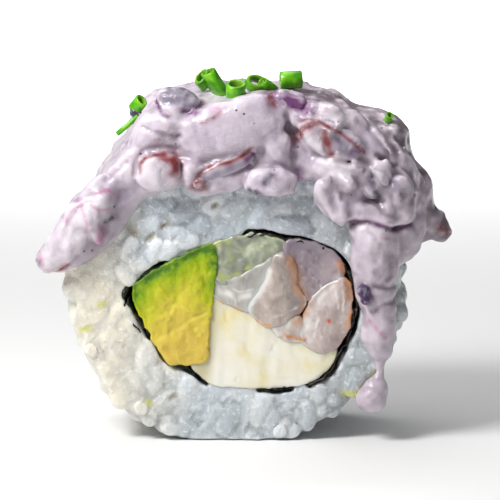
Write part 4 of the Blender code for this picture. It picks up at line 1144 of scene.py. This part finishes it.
pressed_rice = rice_finish("cooked_sushi_rice_pressed", 0.0009, 1.0)
loose_rice = rice_finish("cooked_sushi_rice_loose", 0.0003, 0.5)
YELLOW_SPECKS = (
    (((-20.9, 21.3), (-20.4, 21.6)), 0.45), (((-24.0, 17.4), (-22.6, 17.8)), 0.45),
    (((16.9, 7.4), (18.2, 7.2), (20.2, 8.6), (21.6, 10.4)), 0.6), (((-13.8, 6.2), (-13.3, 5.8)), 0.4),
)
# Brown specks, most of them laid in the pits, where they are painted shade in the gaps between grains.
BROWN_SPECKS_AND_PIT_SHADE = (
    (((-17.5, 17.0), (-16.9, 17.4)), 0.2), (((-18.4, 15.6), (-18.2, 15.8)), 0.22),
    (((12.8, 34.0), (12.9, 34.2)), 0.2), (((-16.4, 33.2), (-15.6, 32.4)), 0.7),
    (((-10.2, 6.8), (-9.4, 6.9)), 0.35), (((-3.5, 36.6), (-3.1, 37.0)), 0.4),
    (((-11.3, 33.6), (-10.6, 34.0)), 0.5), (((-13.8, 31.6), (-12.6, 32.2)), 0.5),
)


def rice_marks(points, batch, seam_and_painted_shade, ridge):
    """How milky; how near the joins between grains, with painted shade; how light with painted highlight;
    how lit by painted warm light, lighter and warmer at the left where the light falls; and where the
    specks are, the brown ones also painted shade in the pits."""
    at, front = points[:, (0, 2)], points[:, 1] < -9
    # Painted warm light: the rice is painted lighter and warmer towards the left, where the key light falls.
    warmth = (-points[:, 0] - 8 - eased((points[:, 2] - 22) / 8) * 6) / 12 + 0.2 * noise(points, 5.0, 31)
    return {"batch": batch, "seam_and_painted_shade": seam_and_painted_shade, "ridge": ridge, "painted_warm_light": np.clip(warmth, 0, 0.8),
            "yellow": 0.8 * front * strongest(at, YELLOW_SPECKS),
            "brown": 0.65 * front * strongest(at, BROWN_SPECKS_AND_PIT_SHADE)}


LOOSE_AT_SIDES, LOOSE_AT_BACK = 190, 30
tone_of = np.random.default_rng(7).uniform(0, 1, len(places))
facing = grain_axes[:, 2, 1]
side_grains, back_grains = np.flatnonzero(np.abs(facing) <= 0.7), np.flatnonzero(facing > 0.7)
picker = np.random.default_rng(9)
loose = np.concatenate([picker.permutation(side_grains)[:LOOSE_AT_SIDES],
                        picker.permutation(back_grains)[:LOOSE_AT_BACK]])
raised = places[loose] + grain_axes[loose, 2] * 0.1
points, faces = grains(raised, grain_axes[loose], grain_sizes[loose], grain_bends[loose])
batch_value = np.repeat(tone_of[loose], points.shape[1])
points = cut_flat(points).reshape(-1, 3)
loose_piece = make_piece("rice_grains", points, faces, loose_rice, ("rice",),
                         rice_marks(points, batch_value, 0 * batch_value, 0 * batch_value))
smoother = loose_piece.modifiers.new("rounder", "SUBSURF")
smoother.levels = smoother.render_levels = 1
cell = np.rint((rice_points - rice_room[0]) / rice_room[1]).astype(int)
cell = tuple(np.clip(cell, 0, np.array(owner.shape) - 1).T)
core_batch = np.where(nearest[cell] < 1.0, tone_of[owner[cell]], 0.4)
bent = hollows(rice_field, rice_room, rice_points, 1)
# Painted shade: the seam mark also darkens the rice in its hollows, towards the right and towards the bottom.
right_shade = 0.35 * eased((rice_points[:, 0] - 8) / 8) + 0.15 * eased((9 - rice_points[:, 2]) / 6)
seam_and_painted_shade = np.clip(0.3 * field_at(seams, rice_room, rice_points) + 0.25 * np.clip(bent, 0, 1) + right_shade, 0, 0.8)
# Painted highlight: the ridge mark lightens the rice on its bulges.
make_piece("rice_core", rice_points, rice_faces, pressed_rice, (),
           rice_marks(rice_points, core_batch, seam_and_painted_shade, 0.25 * np.clip(-bent - 0.3, 0, 1)))

# %% [markdown]
# ## The seaweed
#
# Nori is dried seaweed pressed like paper, 0.2 to 0.3 mm thick. In the roll it drinks water from the
# rice and swells to about twice that, turns nearly black, and its cut edge is ragged. It is a profile
# carried along the path round the filling: a closed section of rounded thickness, with its two edges
# waved by noise, so that the edge comes and goes between the grains.

# %% The sheet round the filling
NORI_STEPS, NORI_SECTION = 420, 22
nori_line = closed_curve(NORI_PATH, NORI_STEPS)
nori_out = outward(nori_line)
LAP = 0.06
share = np.linspace(0, 1 + LAP, int(NORI_STEPS * (1 + LAP)))
index = (share * NORI_STEPS).astype(int) % NORI_STEPS
lift = 0.9 * eased((share - 0.93) / 0.05)
angle = np.linspace(0, 2 * math.pi, NORI_SECTION, endpoint=False)
across = np.sign(np.cos(angle)) * np.abs(np.cos(angle)) ** 0.6
length_way = np.sign(np.sin(angle)) * np.abs(np.sin(angle)) ** 0.25
flat_line = np.column_stack([nori_line[index, 0], 0 * index, nori_line[index, 1]]) + share[:, None] * 9
jitter = 0.3 * noise(flat_line, 0.7, 41) + 0.22 * noise(flat_line, 2.6, 42)
corner = np.exp(-(np.hypot(nori_line[index, 0] + 16.2, nori_line[index, 1] - 23.2) / 1.8) ** 2)
swell = 0.19 + 0.15 * noise(flat_line, 0.5, 43) + 0.1 * eased((nori_line[index, 0] - 8) / 6) + 0.35 * corner
swell += 0.1 * eased((nori_line[index, 1] - 20) / 6)
front = HALF_LENGTH + 0.15 + 0.45 * noise(flat_line, 0.6, 44) - 2.2 * hidden(nori_line[index])
reach = np.where(length_way[None] > 0, HALF_LENGTH - 0.1, front[:, None])
offset = (lift + jitter)[:, None] + across[None] * swell[:, None]
nori_points = np.stack([
    nori_line[index, 0][:, None] + nori_out[index, 0][:, None] * offset,
    length_way[None] * reach,
    nori_line[index, 1][:, None] + nori_out[index, 1][:, None] * offset,
], -1)
nori_faces = grid_faces(len(index), NORI_SECTION)
nori_points = nori_points.reshape(-1, 3)
ends = np.vstack([nori_points[:NORI_SECTION].mean(0), nori_points[-NORI_SECTION:].mean(0)])
caps = end_fans(NORI_SECTION, (len(index) - 1) * NORI_SECTION, (len(nori_points), len(nori_points) + 1))
nori_points = np.vstack([nori_points, ends])

# %% Finish of the seaweed
nori_material, tree, place = new_material("pressed_seaweed_damp", {"Roughness": 0.42, "IOR": 1.45})
fibres = add(tree, "TexNoise", {"Vector": place, "Scale": 700.0, "Detail": 5.0})
tone = add(tree, "ValToRGB", {"Fac": fibres}, stops=(
    (0.4, "#0b0b07"), (0.56, "#1f1c10"), (0.72, "#4a4018")))
dress(tree, tone, (fibres, 0.6, 0.0002))
make_piece("nori_sheet", nori_points, [caps[:, ::-1], nori_faces[:, ::-1]], nori_material, ("nori",))


# %% [markdown]
# ## The filling
#
# Avocado, cheese, shrimp and leaf are strips laid along the roll, and the knife cuts them all at
# once. Each is an outline on the cut face carried along the roll: the two cut ends are a grid of
# rings from the middle to the edge with a small round at the rim, and the side joins them. What
# makes each one real is the relief of its cut end, which is worked out from the same (x, z) places:
# a crack in the avocado, knife marks in the cheese, the swell of each muscle in the shrimp.

# %% A strip with two cut ends
STRIP_AROUND, STRIP_RINGS = 190, 40


def strip(name, outline_points, centre, half, rounding, relief, material, node, marks=None, grow=0.3,
          ragged=0.12):
    """Rings from the centre (s = 0) to the outline (s = 1): the end's depth falls back by
    r - sqrt(r^2 - (r - d)^2) where d, the distance to the rim, is less than the rounding r. The
    outline itself is made ragged by noise in two sizes."""
    outline = closed_curve(outline_points, STRIP_AROUND)
    spread = np.column_stack([outline, 0 * outline[:, 0] + half])
    wander = ragged * (noise(spread, 1.2, 65) + 0.6 * noise(spread, 0.6, 66))
    outline = outline + outward(outline) * (grow + wander)[:, None]
    centre = np.array(centre, float)
    s = np.sin(np.linspace(0, math.pi / 2, STRIP_RINGS + 1))[1:]
    flat_points = centre + (outline - centre)[None] * s[:, None, None]
    rim = (1 - s)[:, None] * np.linalg.norm(outline - centre, axis=1)[None] * 0.9
    fall = np.maximum(rounding - rim, 0)
    back = rounding - np.sqrt(np.maximum(rounding**2 - fall**2, 0))
    held = eased(rim / (rounding + 0.4))
    front = -(half - back) - relief(flat_points) * held
    rear = half - back + 0.5 * relief(flat_points * [-1, 1]) * held
    caps = [np.stack([flat_points[..., 0], depth, flat_points[..., 1]], -1) for depth in (front, rear)]
    side = np.linspace(-(half - rounding), half - rounding, 10)[1:-1]
    walls = np.stack(np.broadcast_arrays(outline[:, 0], side[:, None], outline[:, 1]), -1)
    rows = np.concatenate([caps[0], walls, caps[1][::-1]])
    points = rows.reshape(-1, 3)
    tips = np.array([[centre[0], caps[k][0, :, 1].mean(), centre[1]] for k in (0, 1)])
    faces = grid_faces(len(rows), STRIP_AROUND)
    fans = end_fans(STRIP_AROUND, (len(rows) - 1) * STRIP_AROUND, (len(points), len(points) + 1))
    points = np.vstack([points, tips])
    at = points[:, (0, 2)]
    values = {mark_name: function(at) for mark_name, function in (marks or {}).items()}
    return make_piece(name, points, [fans, faces], material, (node,), values)


# %% [markdown]
# Ripe avocado is green under its skin and butter yellow towards the stone, with no sharp line between
# the two. The distance from the skin side, a line along the upper left, drives the colour, and noise
# wavers it. The flesh is smooth and slightly oily where the knife passed.

# %% Avocado
AVOCADO = (
    (-15.9, 23.8), (-14.6, 20.0), (-12.2, 15.0), (-10.3, 12.4), (-9.0, 12.1), (-6.2, 12.3), (-4.9, 12.9),
    (-4.7, 14.4), (-4.4, 17.0), (-4.0, 22.0), (-3.4, 26.0), (-3.2, 29.0), (-4.2, 30.4), (-6.4, 29.6),
    (-9.0, 28.4), (-12.4, 26.6), (-15.0, 24.9),
)
SKIN_SIDE = (
    (-16.2, 22.6), (-15.4, 25.0), (-12.0, 26.8), (-8.0, 28.8), (-3.6, 30.4), (-2.8, 28.0), (-2.6, 25.0),
)
CRACK = ((-10.3, 17.2), (-8.4, 18.2), (-6.9, 19.4), (-5.3, 19.9), (-4.5, 20.4))
GROOVE = ((-6.0, 29.4), (-5.4, 27.0), (-4.6, 24.6))


def avocado_relief(at):
    """Soft swell, a crack across whose lower lip stands out, and a shallow groove at the top right."""
    below = np.interp(at[..., 0], *np.array(CRACK).T) - at[..., 1]
    lip = eased(below / 0.5) * np.exp(-np.maximum(below, 0) / 2.4) * eased((at[..., 0] + 10.4) / 2.5)
    swell = 0.18 * flat_noise(at, 3.2, 51) + 0.18 * flat_noise(at, 1.3, 52) + 0.09 * flat_noise(at, 0.6, 53)
    return swell + 0.22 * lip - 0.12 * mark(at, CRACK, 0.3) - 0.25 * mark(at, GROOVE, 0.5)


def wavered(tree, mark_name, wave, height):
    """A mark's number, moved up and down by a noise: the mark plus the height times the noise less one
    half."""
    value = add(tree, "Attribute", attribute_name=mark_name).outputs["Fac"]
    raised = add(tree, "Math", {0: wave, 1: height, 2: value}, operation="MULTIPLY_ADD")
    return add(tree, "Math", {0: raised, 1: height / 2}, operation="SUBTRACT")


avocado_material, tree, place = new_material("ripe_avocado_flesh", {
    "Roughness": 0.4, "IOR": 1.42, "Subsurface Weight": 0.5, "Subsurface Radius": (1.0, 1.0, 0.3),
    "Subsurface Scale": 0.0008, "Coat Weight": 0.1, "Coat Roughness": 0.25,
})
mottle = add(tree, "TexNoise", {
    "Vector": place, "Scale": 480.0, "Detail": 6.0, "Roughness": 0.65, "Distortion": 0.3})
tone = add(tree, "ValToRGB", {"Fac": wavered(tree, "from_skin", mottle, 0.6)}, stops=(
    (0.0, "#487600"), (0.08, "#7da200"), (0.2, "#a7b800"), (0.4, "#c8c42a"),
    (0.65, "#dbc848"), (1.0, "#dcc052")))
# Painted shade: the crack coat darkens the flesh along the crack.
dress(tree, coated(tree, tone, ("crack", "#b0a02c")), (mottle, 0.7, 0.0007))
avocado_marks = {
    "from_skin": lambda at: np.clip(distance_to(at, SKIN_SIDE) / 10.0, 0, 1),
    "crack": lambda at: 0.4 * mark(at, CRACK, 0.35),
}
strip("avocado_strip", AVOCADO, (-9.2, 21.5), 12.5, 0.35, avocado_relief, avocado_material,
      "avocado", avocado_marks, 0.35, 0.3)

# %% [markdown]
# Cream cheese is dense and even. Its own marks are those of the knife: fine ridges from top to bottom,
# with a few torn pits, and faint yellow clouds in the white.

# %% Cream cheese
CHEESE = (
    (-4.2, 23.6), (-4.8, 18.6), (-5.4, 14.2), (-6.6, 11.8), (-5.2, 10.4), (-3.4, 9.2), (0.0, 8.8), (6.0, 8.7),
    (11.2, 9.6), (14.0, 11.6), (15.2, 14.0), (14.4, 15.6), (12.4, 16.4), (9.8, 17.4), (7.0, 18.4), (4.0, 19.6),
    (1.2, 21.0), (-2.0, 22.6),
)


def cheese_relief(at):
    """Knife ridges 0.9 mm apart, drawn down the face, and small torn pits."""
    long, short = at * [1.0, 0.16], at * [1.0, 0.5]
    ridges = 0.05 * flat_noise(long, 0.9, 61) + 0.12 * flat_noise(long, 4.0, 62)
    return ridges + 0.06 * flat_noise(short, 1.0, 64) - 0.35 * np.clip(flat_noise(short, 0.8, 63) - 0.6, 0, 1)


cheese_material, tree, place = new_material("cream_cheese_cut", {
    "Roughness": 0.42, "IOR": 1.45, "Subsurface Weight": 0.8, "Subsurface Radius": (1.0, 0.9, 0.7),
    "Subsurface Scale": 0.0012, "Coat Weight": 0.1, "Coat Roughness": 0.3,
})
clouds = add(tree, "TexNoise", {"Vector": place, "Scale": 210.0, "Detail": 4.0})
tone = add(tree, "ValToRGB", {"Fac": clouds}, stops=(
    (0.35, "#f3f0e6"), (0.55, "#f0ebd8"), (0.72, "#ebe0b0")))
fine = add(tree, "TexNoise", {"Vector": place, "Scale": 1200.0, "Detail": 3.0})
# Painted shade: the cheese is darker and yellower beside the avocado, in its shade.
dress(tree, coated(tree, tone, ("painted_shade_beside_avocado", "#c9c29c")), (fine, 0.25, 0.00012))
AVOCADO_SIDE = ((-3.8, 24.0), (-4.6, 16.0), (-5.6, 11.0))
strip("cream_cheese_strip", CHEESE, (4.2, 13.6), 12.15, 0.35, cheese_relief, cheese_material,
      "cream_cheese", {"painted_shade_beside_avocado": lambda at: 0.9 * mark(at, AVOCADO_SIDE, 1.9)}, 0.5)

# %% [markdown]
# Cooked shrimp is cut across here, so each lobe is a bundle of muscle: glassy grey-pink flesh that
# swells out of the cut, with white films between the bundles and a thin orange skin on the outside.
# The films and the skin are lines read off the cut face. Each is a mark on the points that fades over
# a fraction of a millimetre, and the relief is finely fringed along the films.

# %% Shrimp
EDGES = (
    ((2.2, 20.8), (3.0, 22.4), (4.4, 24.4), (5.2, 26.6)),
    ((10.8, 17.6), (11.5, 20.2), (12.9, 22.4), (14.4, 24.1), (15.9, 25.4)),
    ((-2.4, 23.6), (0.4, 22.6), (2.0, 22.9)),
)
FILMS = (
    ((10.0, 20.6), (10.9, 21.8), (10.6, 22.8)),
    ((12.0, 16.6), (12.8, 19.6), (14.2, 22.6)),
    ((15.2, 23.9), (15.8, 20.8)),
    ((5.8, 19.6), (7.6, 19.9), (9.6, 21.2)),
    ((13.2, 16.4), (14.0, 18.4), (14.1, 21.0)),
    ((11.6, 26.0), (12.8, 25.0), (13.2, 23.9)),
    ((-1.6, 24.4), (0.6, 23.4), (2.6, 23.8)),
    ((16.3, 25.2), (16.6, 22.0), (16.3, 18.6)),
)
SKIN_LINES = (
    ((-3.3, 22.2), (-1.4, 21.2), (0.6, 20.5), (2.6, 19.2), (4.6, 18.3), (6.4, 18.0)),
    ((15.8, 28.0), (17.0, 26.2), (17.8, 23.4), (17.7, 20.0), (16.8, 16.6)),
    ((7.8, 16.6), (9.2, 16.2), (10.6, 15.9)),
)
AMBER = (
    ((8.4, 28.4), (9.2, 26.2), (9.5, 24.0), (10.6, 22.6)),
    ((10.9, 21.4), (10.2, 19.8), (9.6, 18.9)),
    ((16.4, 27.6), (17.2, 25.6), (17.6, 22.6)),
)
# Outline, centre, half length, rounding, growth; how pale the flesh is: base, slope along x and z; and
# how cool and how lilac it is
SHRIMPS = {
    "shrimp_left": (
        ((-3.4, 24.4), (-2.9, 22.9), (-1.0, 21.8), (1.0, 21.0), (2.4, 20.6), (3.4, 21.8), (4.6, 24.4),
         (5.6, 27.0), (5.4, 28.2), (2.8, 26.6), (-0.6, 25.0)),
        (1.4, 23.6), 12.45, 0.35, 0.6, (0.58, -0.03, -0.04), (0.7, 0.0)),
    "shrimp_middle": (
        ((2.3, 21.0), (3.4, 19.4), (5.4, 18.3), (6.6, 18.3), (8.2, 19.4), (9.8, 20.8), (10.4, 22.2),
         (9.6, 23.6), (8.9, 25.0), (8.9, 27.4), (7.8, 29.0), (6.2, 28.8), (5.2, 26.6), (4.2, 24.0)),
        (6.6, 23.0), 12.65, 0.45, 0.55, (0.42, -0.08, -0.02), (0.2, 0.0)),
    "shrimp_upper": (
        ((8.0, 30.4), (8.6, 27.6), (9.6, 25.4), (9.9, 23.6), (11.0, 22.7), (12.6, 23.6), (14.2, 24.6),
         (15.8, 25.6), (16.2, 27.0), (15.0, 28.8), (12.6, 30.2), (10.0, 30.8)),
        (12.0, 27.2), 12.35, 0.35, 0.7, (0.30, 0.04, -0.05), (0.0, 0.6)),
    "shrimp_lower": (
        ((16.4, 25.4), (14.8, 24.6), (12.9, 23.2), (11.2, 20.8), (10.3, 18.2), (10.8, 15.8),
         (12.6, 14.4), (14.6, 14.4), (16.2, 16.0), (17.3, 19.0), (17.5, 22.4), (17.2, 24.6)),
        (14.0, 19.4), 12.55, 0.4, 0.5, (0.66, -0.06, 0.02), (0.0, 0.2)),
    "shrimp_small": (
        ((5.8, 18.0), (6.6, 16.9), (8.4, 16.2), (10.2, 16.1), (10.8, 17.6), (10.2, 19.0), (8.6, 19.5),
         (7.0, 18.9)),
        (8.6, 17.8), 12.5, 0.3, 0.5, (0.75, 0.0, 0.0), (0.1, 0.0)),
}


def shrimp_relief(at):
    """Swell of the muscle bundles in three sizes, with a fine fringe where a film was torn."""
    swell = 0.40 * flat_noise(at, 3.2, 71) + 0.12 * flat_noise(at, 1.2, 72) + 0.05 * flat_noise(at, 0.55, 77)
    return swell + 0.12 * strongest(at, [(film, 0.25) for film in FILMS]) * flat_noise(at, 0.5, 73)


shrimp_material, tree, place = new_material("cooked_shrimp_flesh", {
    "Roughness": 0.24, "IOR": 1.38, "Subsurface Weight": 1.0, "Subsurface Radius": (1.0, 0.8, 0.72),
    "Subsurface Scale": 0.0018, "Coat Weight": 0.5, "Coat Roughness": 0.08, "Coat IOR": 1.38,
})
stretched = add(tree, "Mapping", {"Vector": place, "Scale": (1.8, 1.0, 0.8), "Rotation": (0.0, 0.6, 0.0)})
fibres = add(tree, "TexNoise", {"Vector": stretched, "Scale": 520.0, "Detail": 6.0, "Distortion": 1.6})
cloudy = add(tree, "TexNoise", {"Vector": place, "Scale": 340.0, "Detail": 5.0, "Distortion": 0.5})
flesh = add(tree, "ValToRGB", {"Fac": wavered(tree, "pale", cloudy, 1.0)}, stops=(
    (0.0, "#85787f"), (0.33, "#a89891"), (0.6, "#cdbcb4"), (1.0, "#ece4de")))
fibrous = add(tree, "ValToRGB", {"Fac": fibres}, stops=((0.56, BLACK), (0.74, 0.4)))
colour = coated(tree, flesh, ("cool", "#b4b8b3"), ("lilac", "#9f94a3"), (fibrous, "#e4e0de"),
                ("amber", "#bd8a66"), ("film", "#f4f0ec"), ("orange_skin", "#e39a5f"), ("red_dot", "#dc5a38"))
dress(tree, colour, (cloudy, 0.6, 0.0008))


def torn_lines(at, lines, width, seed):
    """The lines' mark, broken along the way by noise."""
    return strongest(at, [(line, width) for line in lines]) * eased(0.6 + 0.8 * flat_noise(at, 1.0, seed))


shrimp_marks = {
    "orange_skin": lambda at: 0.9 * torn_lines(at, SKIN_LINES, 0.3, 75),
    "amber": lambda at: 0.8 * strongest(at, [(line, 0.85) for line in AMBER]),
    "film": lambda at: np.maximum(0.5 * torn_lines(at, FILMS, 0.2, 74), 0.85 * torn_lines(at, EDGES, 0.55, 76)),
    "red_dot": lambda at: np.exp(-(np.linalg.norm(at - [14.3, 18.9], axis=-1) / 0.35) ** 2),
}
for node, (outline_points, centre, half, rounding, grow, pale, (cool, lilac)) in SHRIMPS.items():
    own_marks = {
        "pale": lambda at, pale=pale, centre=centre: np.clip(pale[0] + (at - centre) @ pale[1:], 0, 1),
        "cool": lambda at, cool=cool: 0 * at[..., 0] + cool,
        "lilac": lambda at, lilac=lilac: 0 * at[..., 0] + lilac,
    }
    strip(node + "_lobe", outline_points, centre, half, rounding, shrimp_relief, shrimp_material,
          node, shrimp_marks | own_marks, grow, 0.22)

# %% [markdown]
# The leaf is the pale inner part of a crisp lettuce, folded on itself: wet, half clear, green at its
# thin edges. Folds are ridges that fan out over the cut end.

# %% Lettuce
LETTUCE = (
    (-3.2, 30.6), (-3.2, 27.6), (-2.8, 25.2), (-1.6, 24.2), (0.6, 25.2), (3.0, 26.8), (5.0, 28.3),
    (6.8, 28.9), (7.6, 29.8), (7.0, 31.2), (3.4, 32.0), (-0.6, 31.6),
)


def leaf_relief(at):
    """Folds: soft bands, one for each 26 degrees of a fan from the lower left, with some noise."""
    turn = np.arctan2(at[..., 1] - 21.0, at[..., 0] + 9.0)
    folds = np.sin(turn * 14 + 3.0 * flat_noise(at, 2.4, 81))
    return 0.14 * folds + 0.24 * flat_noise(at, 1.9, 82) + 0.14 * flat_noise(at, 0.8, 83)


lettuce_material, tree, place = new_material("crisp_lettuce_heart", {
    "Roughness": 0.22, "IOR": 1.4, "Subsurface Weight": 0.9, "Subsurface Radius": (0.9, 1.0, 0.7),
    "Subsurface Scale": 0.0012, "Coat Weight": 0.5, "Coat Roughness": 0.1,
})
veins = add(tree, "TexNoise", {"Vector": place, "Scale": 420.0, "Detail": 6.0, "Distortion": 0.7})
tone = add(tree, "ValToRGB", {"Fac": veins}, stops=(
    (0.30, "#888b80"), (0.46, "#9ea292"), (0.60, "#b3baa0"), (0.74, "#dadfcb")))
dress(tree, coated(tree, tone, ("green", "#c6d06a"), ("brown", "#8d6420")), (veins, 0.4, 0.0003))
GREEN_EDGES = (
    ((-2.2, 29.6), (-1.2, 29.8), (-0.6, 28.6)),
    ((-2.2, 25.6), (-1.2, 25.0), (0.4, 26.0), (1.8, 27.2)),
    ((-1.4, 31.2), (-3.0, 30.8)),
    ((6.0, 31.4), (9.0, 30.6)),
)
BROWN_EDGE = ((-3.4, 30.4), (-3.3, 28.6), (-3.1, 26.2))
lettuce_marks = {
    "green": lambda at: 0.75 * torn_lines(at, GREEN_EDGES, 0.6, 84),
    "brown": lambda at: 0.9 * mark(at, BROWN_EDGE, 0.32),
}
strip("lettuce_fold", LETTUCE, (1.6, 29.0), 12.2, 0.3, leaf_relief, lettuce_material, "lettuce",
      lettuce_marks, 0.4, 0.25)

# %% [markdown]
# ## Chives
#
# Chopped chives are short hollow tubes, some 3.6 mm across with a wall of half a millimetre. Each is
# a closed profile, outer wall, lip, inner wall and lip again, carried round a slightly squashed
# circle. They lie on the cream at their given places; the height of the cream below each place is
# read from the field and printed beside the tube's lowest point.

# %% Rings of chive
# Centre, turn from the roll's right towards its back, rise of the tube's axis, radius, length, squash
CHIVES = (
    ((-3.3, -7.4, 55.3), -160, 58, 1.5, 4.2, 1.25), ((-5.0, -6.8, 55.7), -130, 40, 1.2, 1.9, 0.8),
    ((0.0, -11.4, 53.9), -92, 66, 1.55, 3.6, 1.0), ((2.9, -7.4, 55.2), -64, 40, 1.45, 1.5, 1.15),
    ((4.9, -7.4, 54.8), -150, 34, 1.0, 2.6, 1.2), ((8.5, -5.2, 55.6), 6, 3, 1.4, 3.4, 1.0),
    ((-15.1, -8.8, 52.0), -44, 44, 1.05, 2.4, 0.9), ((-16.7, -9.4, 48.9), 0, 40, 0.38, 4.2, 0.95),
    ((23.5, -8.4, 50.0), -70, 40, 0.6, 1.4, 0.9),
    ((1.6, 12.0, 52.6), 140, 15, 1.7, 3.2, 1.0), ((-8.4, 11.6, 51.4), 25, 10, 1.7, 2.6, 1.0),
    ((13.6, 11.8, 49.6), 110, 12, 1.7, 3.0, 1.0),
)
CHIVE_AROUND = 40


def cream_height(x, y):
    """Height of the cream's top at a place: the highest grid point below zero in that column."""
    low, step = cream_room[:2]
    column = cream_field[int((x - low[0]) / step), int((y - low[1]) / step)]
    return low[2] + np.flatnonzero(column < 0).max() * step


def chive(centre, turn, rise, radius, length, squash, seed):
    """A tube: profile (radius, place along) from outside to inside, with a wall of 0.38 of the radius,
    carried round a circle that is squashed one way and as much wider the other way."""
    axis = turned_by(("Z", turn), ("Y", -rise))[:, 0]
    side = np.cross(axis, [0.05, 0.0, 1.0])
    side /= np.linalg.norm(side)
    other = np.cross(axis, side)
    half, inner, lip = length / 2, 0.62 * radius, 0.08 * radius
    profile = np.array([
        (radius, -half + lip), (radius, -half / 3), (radius, half / 3), (radius, half - lip),
        (radius - lip, half), (inner + lip, half), (inner, half - lip), (inner, 0.0), (inner, -half + lip),
        (inner + lip, -half), (radius - lip, -half)])
    angle = np.linspace(0, 2 * math.pi, CHIVE_AROUND, endpoint=False)
    round_way = np.cos(angle)[:, None] * side * squash + np.sin(angle)[:, None] * other / squash
    points = (np.array(centre) + axis * profile[:, 1][:, None, None]
              + round_way[None] * profile[:, 0][:, None, None]).reshape(-1, 3)
    points = points + 0.1 * radius * noise(points, 1.4, 100 + seed)[:, None] * side
    faces = grid_faces(len(profile) + 1, CHIVE_AROUND) % len(points)
    within = np.repeat(profile[:, 0] < 0.9 * radius, CHIVE_AROUND)
    return points, faces, within.astype(float)


parts = [chive(*row, seed) for seed, row in enumerate(CHIVES)]
each = len(parts[0][0])
chive_points = np.vstack([points for points, faces, within in parts])
chive_faces = np.vstack([faces + number * each for number, (points, faces, within) in enumerate(parts)])
chive_within = np.concatenate([within for points, faces, within in parts])
for (centre, *rest), (points, faces, within) in zip(CHIVES, parts):
    print("chive at", centre, "lowest", round(float(points[:, 2].min()), 1),
          "cream there", round(float(cream_height(*centre[:2])), 1))

chive_material, tree, place = new_material("fresh_chive", {
    "Roughness": 0.3, "IOR": 1.42, "Subsurface Weight": 0.4, "Subsurface Radius": (0.4, 1.0, 0.1),
    "Subsurface Scale": 0.0006, "Coat Weight": 0.3, "Coat Roughness": 0.15,
})
ribs = add(tree, "TexNoise", {"Vector": place, "Scale": 600.0, "Detail": 3.0})
tone = add(tree, "ValToRGB", {"Fac": ribs}, stops=(
    (0.3, "#2c7c00"), (0.5, "#55a906"), (0.75, "#8ad11f")))
dress(tree, coated(tree, tone, ("within", "#6f9e24")))
make_piece("chive_rings", chive_points, chive_faces, chive_material, (), {"within": chive_within})

# %% [markdown]
# ## Floor, light and camera
#
# The roll stands on a plain pale floor in a white room. The main light is a soft one near the roll, at
# the upper left and a little in front: because it is near, it fades towards the right, where the cream
# falls into soft shade. A wide one above keeps the shade open, and a third washes the floor behind. The
# camera looks slightly down at the cut face through a long lens, from 38 cm away.

# %% Floor
floor_points = np.array([(-2500, -1500, 0), (2500, -1500, 0), (2500, 3500, 0), (-2500, 3500, 0)], float)
floor_mesh = bpy.data.meshes.new("floor")
floor_mesh.from_pydata((floor_points * MM).tolist(), [], [(0, 1, 2, 3)])
floor = bpy.data.objects.new("floor", floor_mesh)
bpy.context.scene.collection.objects.link(floor)
floor_material, tree, place = new_material("matt_white_floor", {
    "Base Color": paint("#f4f4f4"), "Roughness": 0.8, "IOR": 1.45})
floor_mesh.materials.append(floor_material)


# %% Lights
def soft_light(name, place, aim, size, power, colour, spread=180):
    """A square area light at a place in millimetres, turned towards its aim, with its spread in degrees."""
    data = bpy.data.lights.new(name, "AREA")
    data.shape = "SQUARE"
    data.size = size * MM
    data.energy = power
    data.color = colour
    data.spread = math.radians(spread)
    lamp = bpy.data.objects.new(name, data)
    lamp.location = Vector(place) * MM
    lamp.rotation_euler = (Vector(aim) - Vector(place)).to_track_quat("-Z", "Y").to_euler()
    bpy.context.scene.collection.objects.link(lamp)


soft_light("key_near_left", (-120, -112, 190), (0, 0, 28), 80, 0.58, (1.0, 1.0, 0.99))
soft_light("top", (-30, 10, 340), (0, 0, 20), 180, 0.14, (1.0, 1.0, 1.0))
soft_light("wash_of_the_floor", (0, 1500, 1100), (0, 1500, 0), 2000, 40.0, (1.0, 1.0, 1.0), 80)
world = bpy.data.worlds.new("white_room")
world.use_nodes = True
background = world.node_tree.nodes["Background"]
plug(world.node_tree, background.inputs["Color"], paint(WHITE))
plug(world.node_tree, background.inputs["Strength"], 0.17)
bpy.context.scene.world = world
bpy.context.scene.view_settings.view_transform = "Standard"

# %% Camera
ELEVATION, DISTANCE, PIXELS_PER_MM, FRAME = 8.0, 380.0, 6.5, 500
camera_data = bpy.data.cameras.new("camera")
camera_data.sensor_width = 36.0
camera_data.lens = camera_data.sensor_width * PIXELS_PER_MM * DISTANCE / FRAME
camera_data.clip_start = 0.01
camera_data.clip_end = 20
camera = bpy.data.objects.new("camera", camera_data)
bpy.context.scene.collection.objects.link(camera)
LOOKED_AT = Vector((2.15, -12.0, 29.9))
tilt = math.radians(ELEVATION)
camera.location = (LOOKED_AT + DISTANCE * Vector((0, -math.cos(tilt), math.sin(tilt)))) * MM
camera.rotation_euler = (math.pi / 2 - tilt, 0, 0)
bpy.context.scene.camera = camera

# %% [markdown]
# Last, the scene is brought up to date.

# %% Scene brought up to date
bpy.context.view_layer.update()
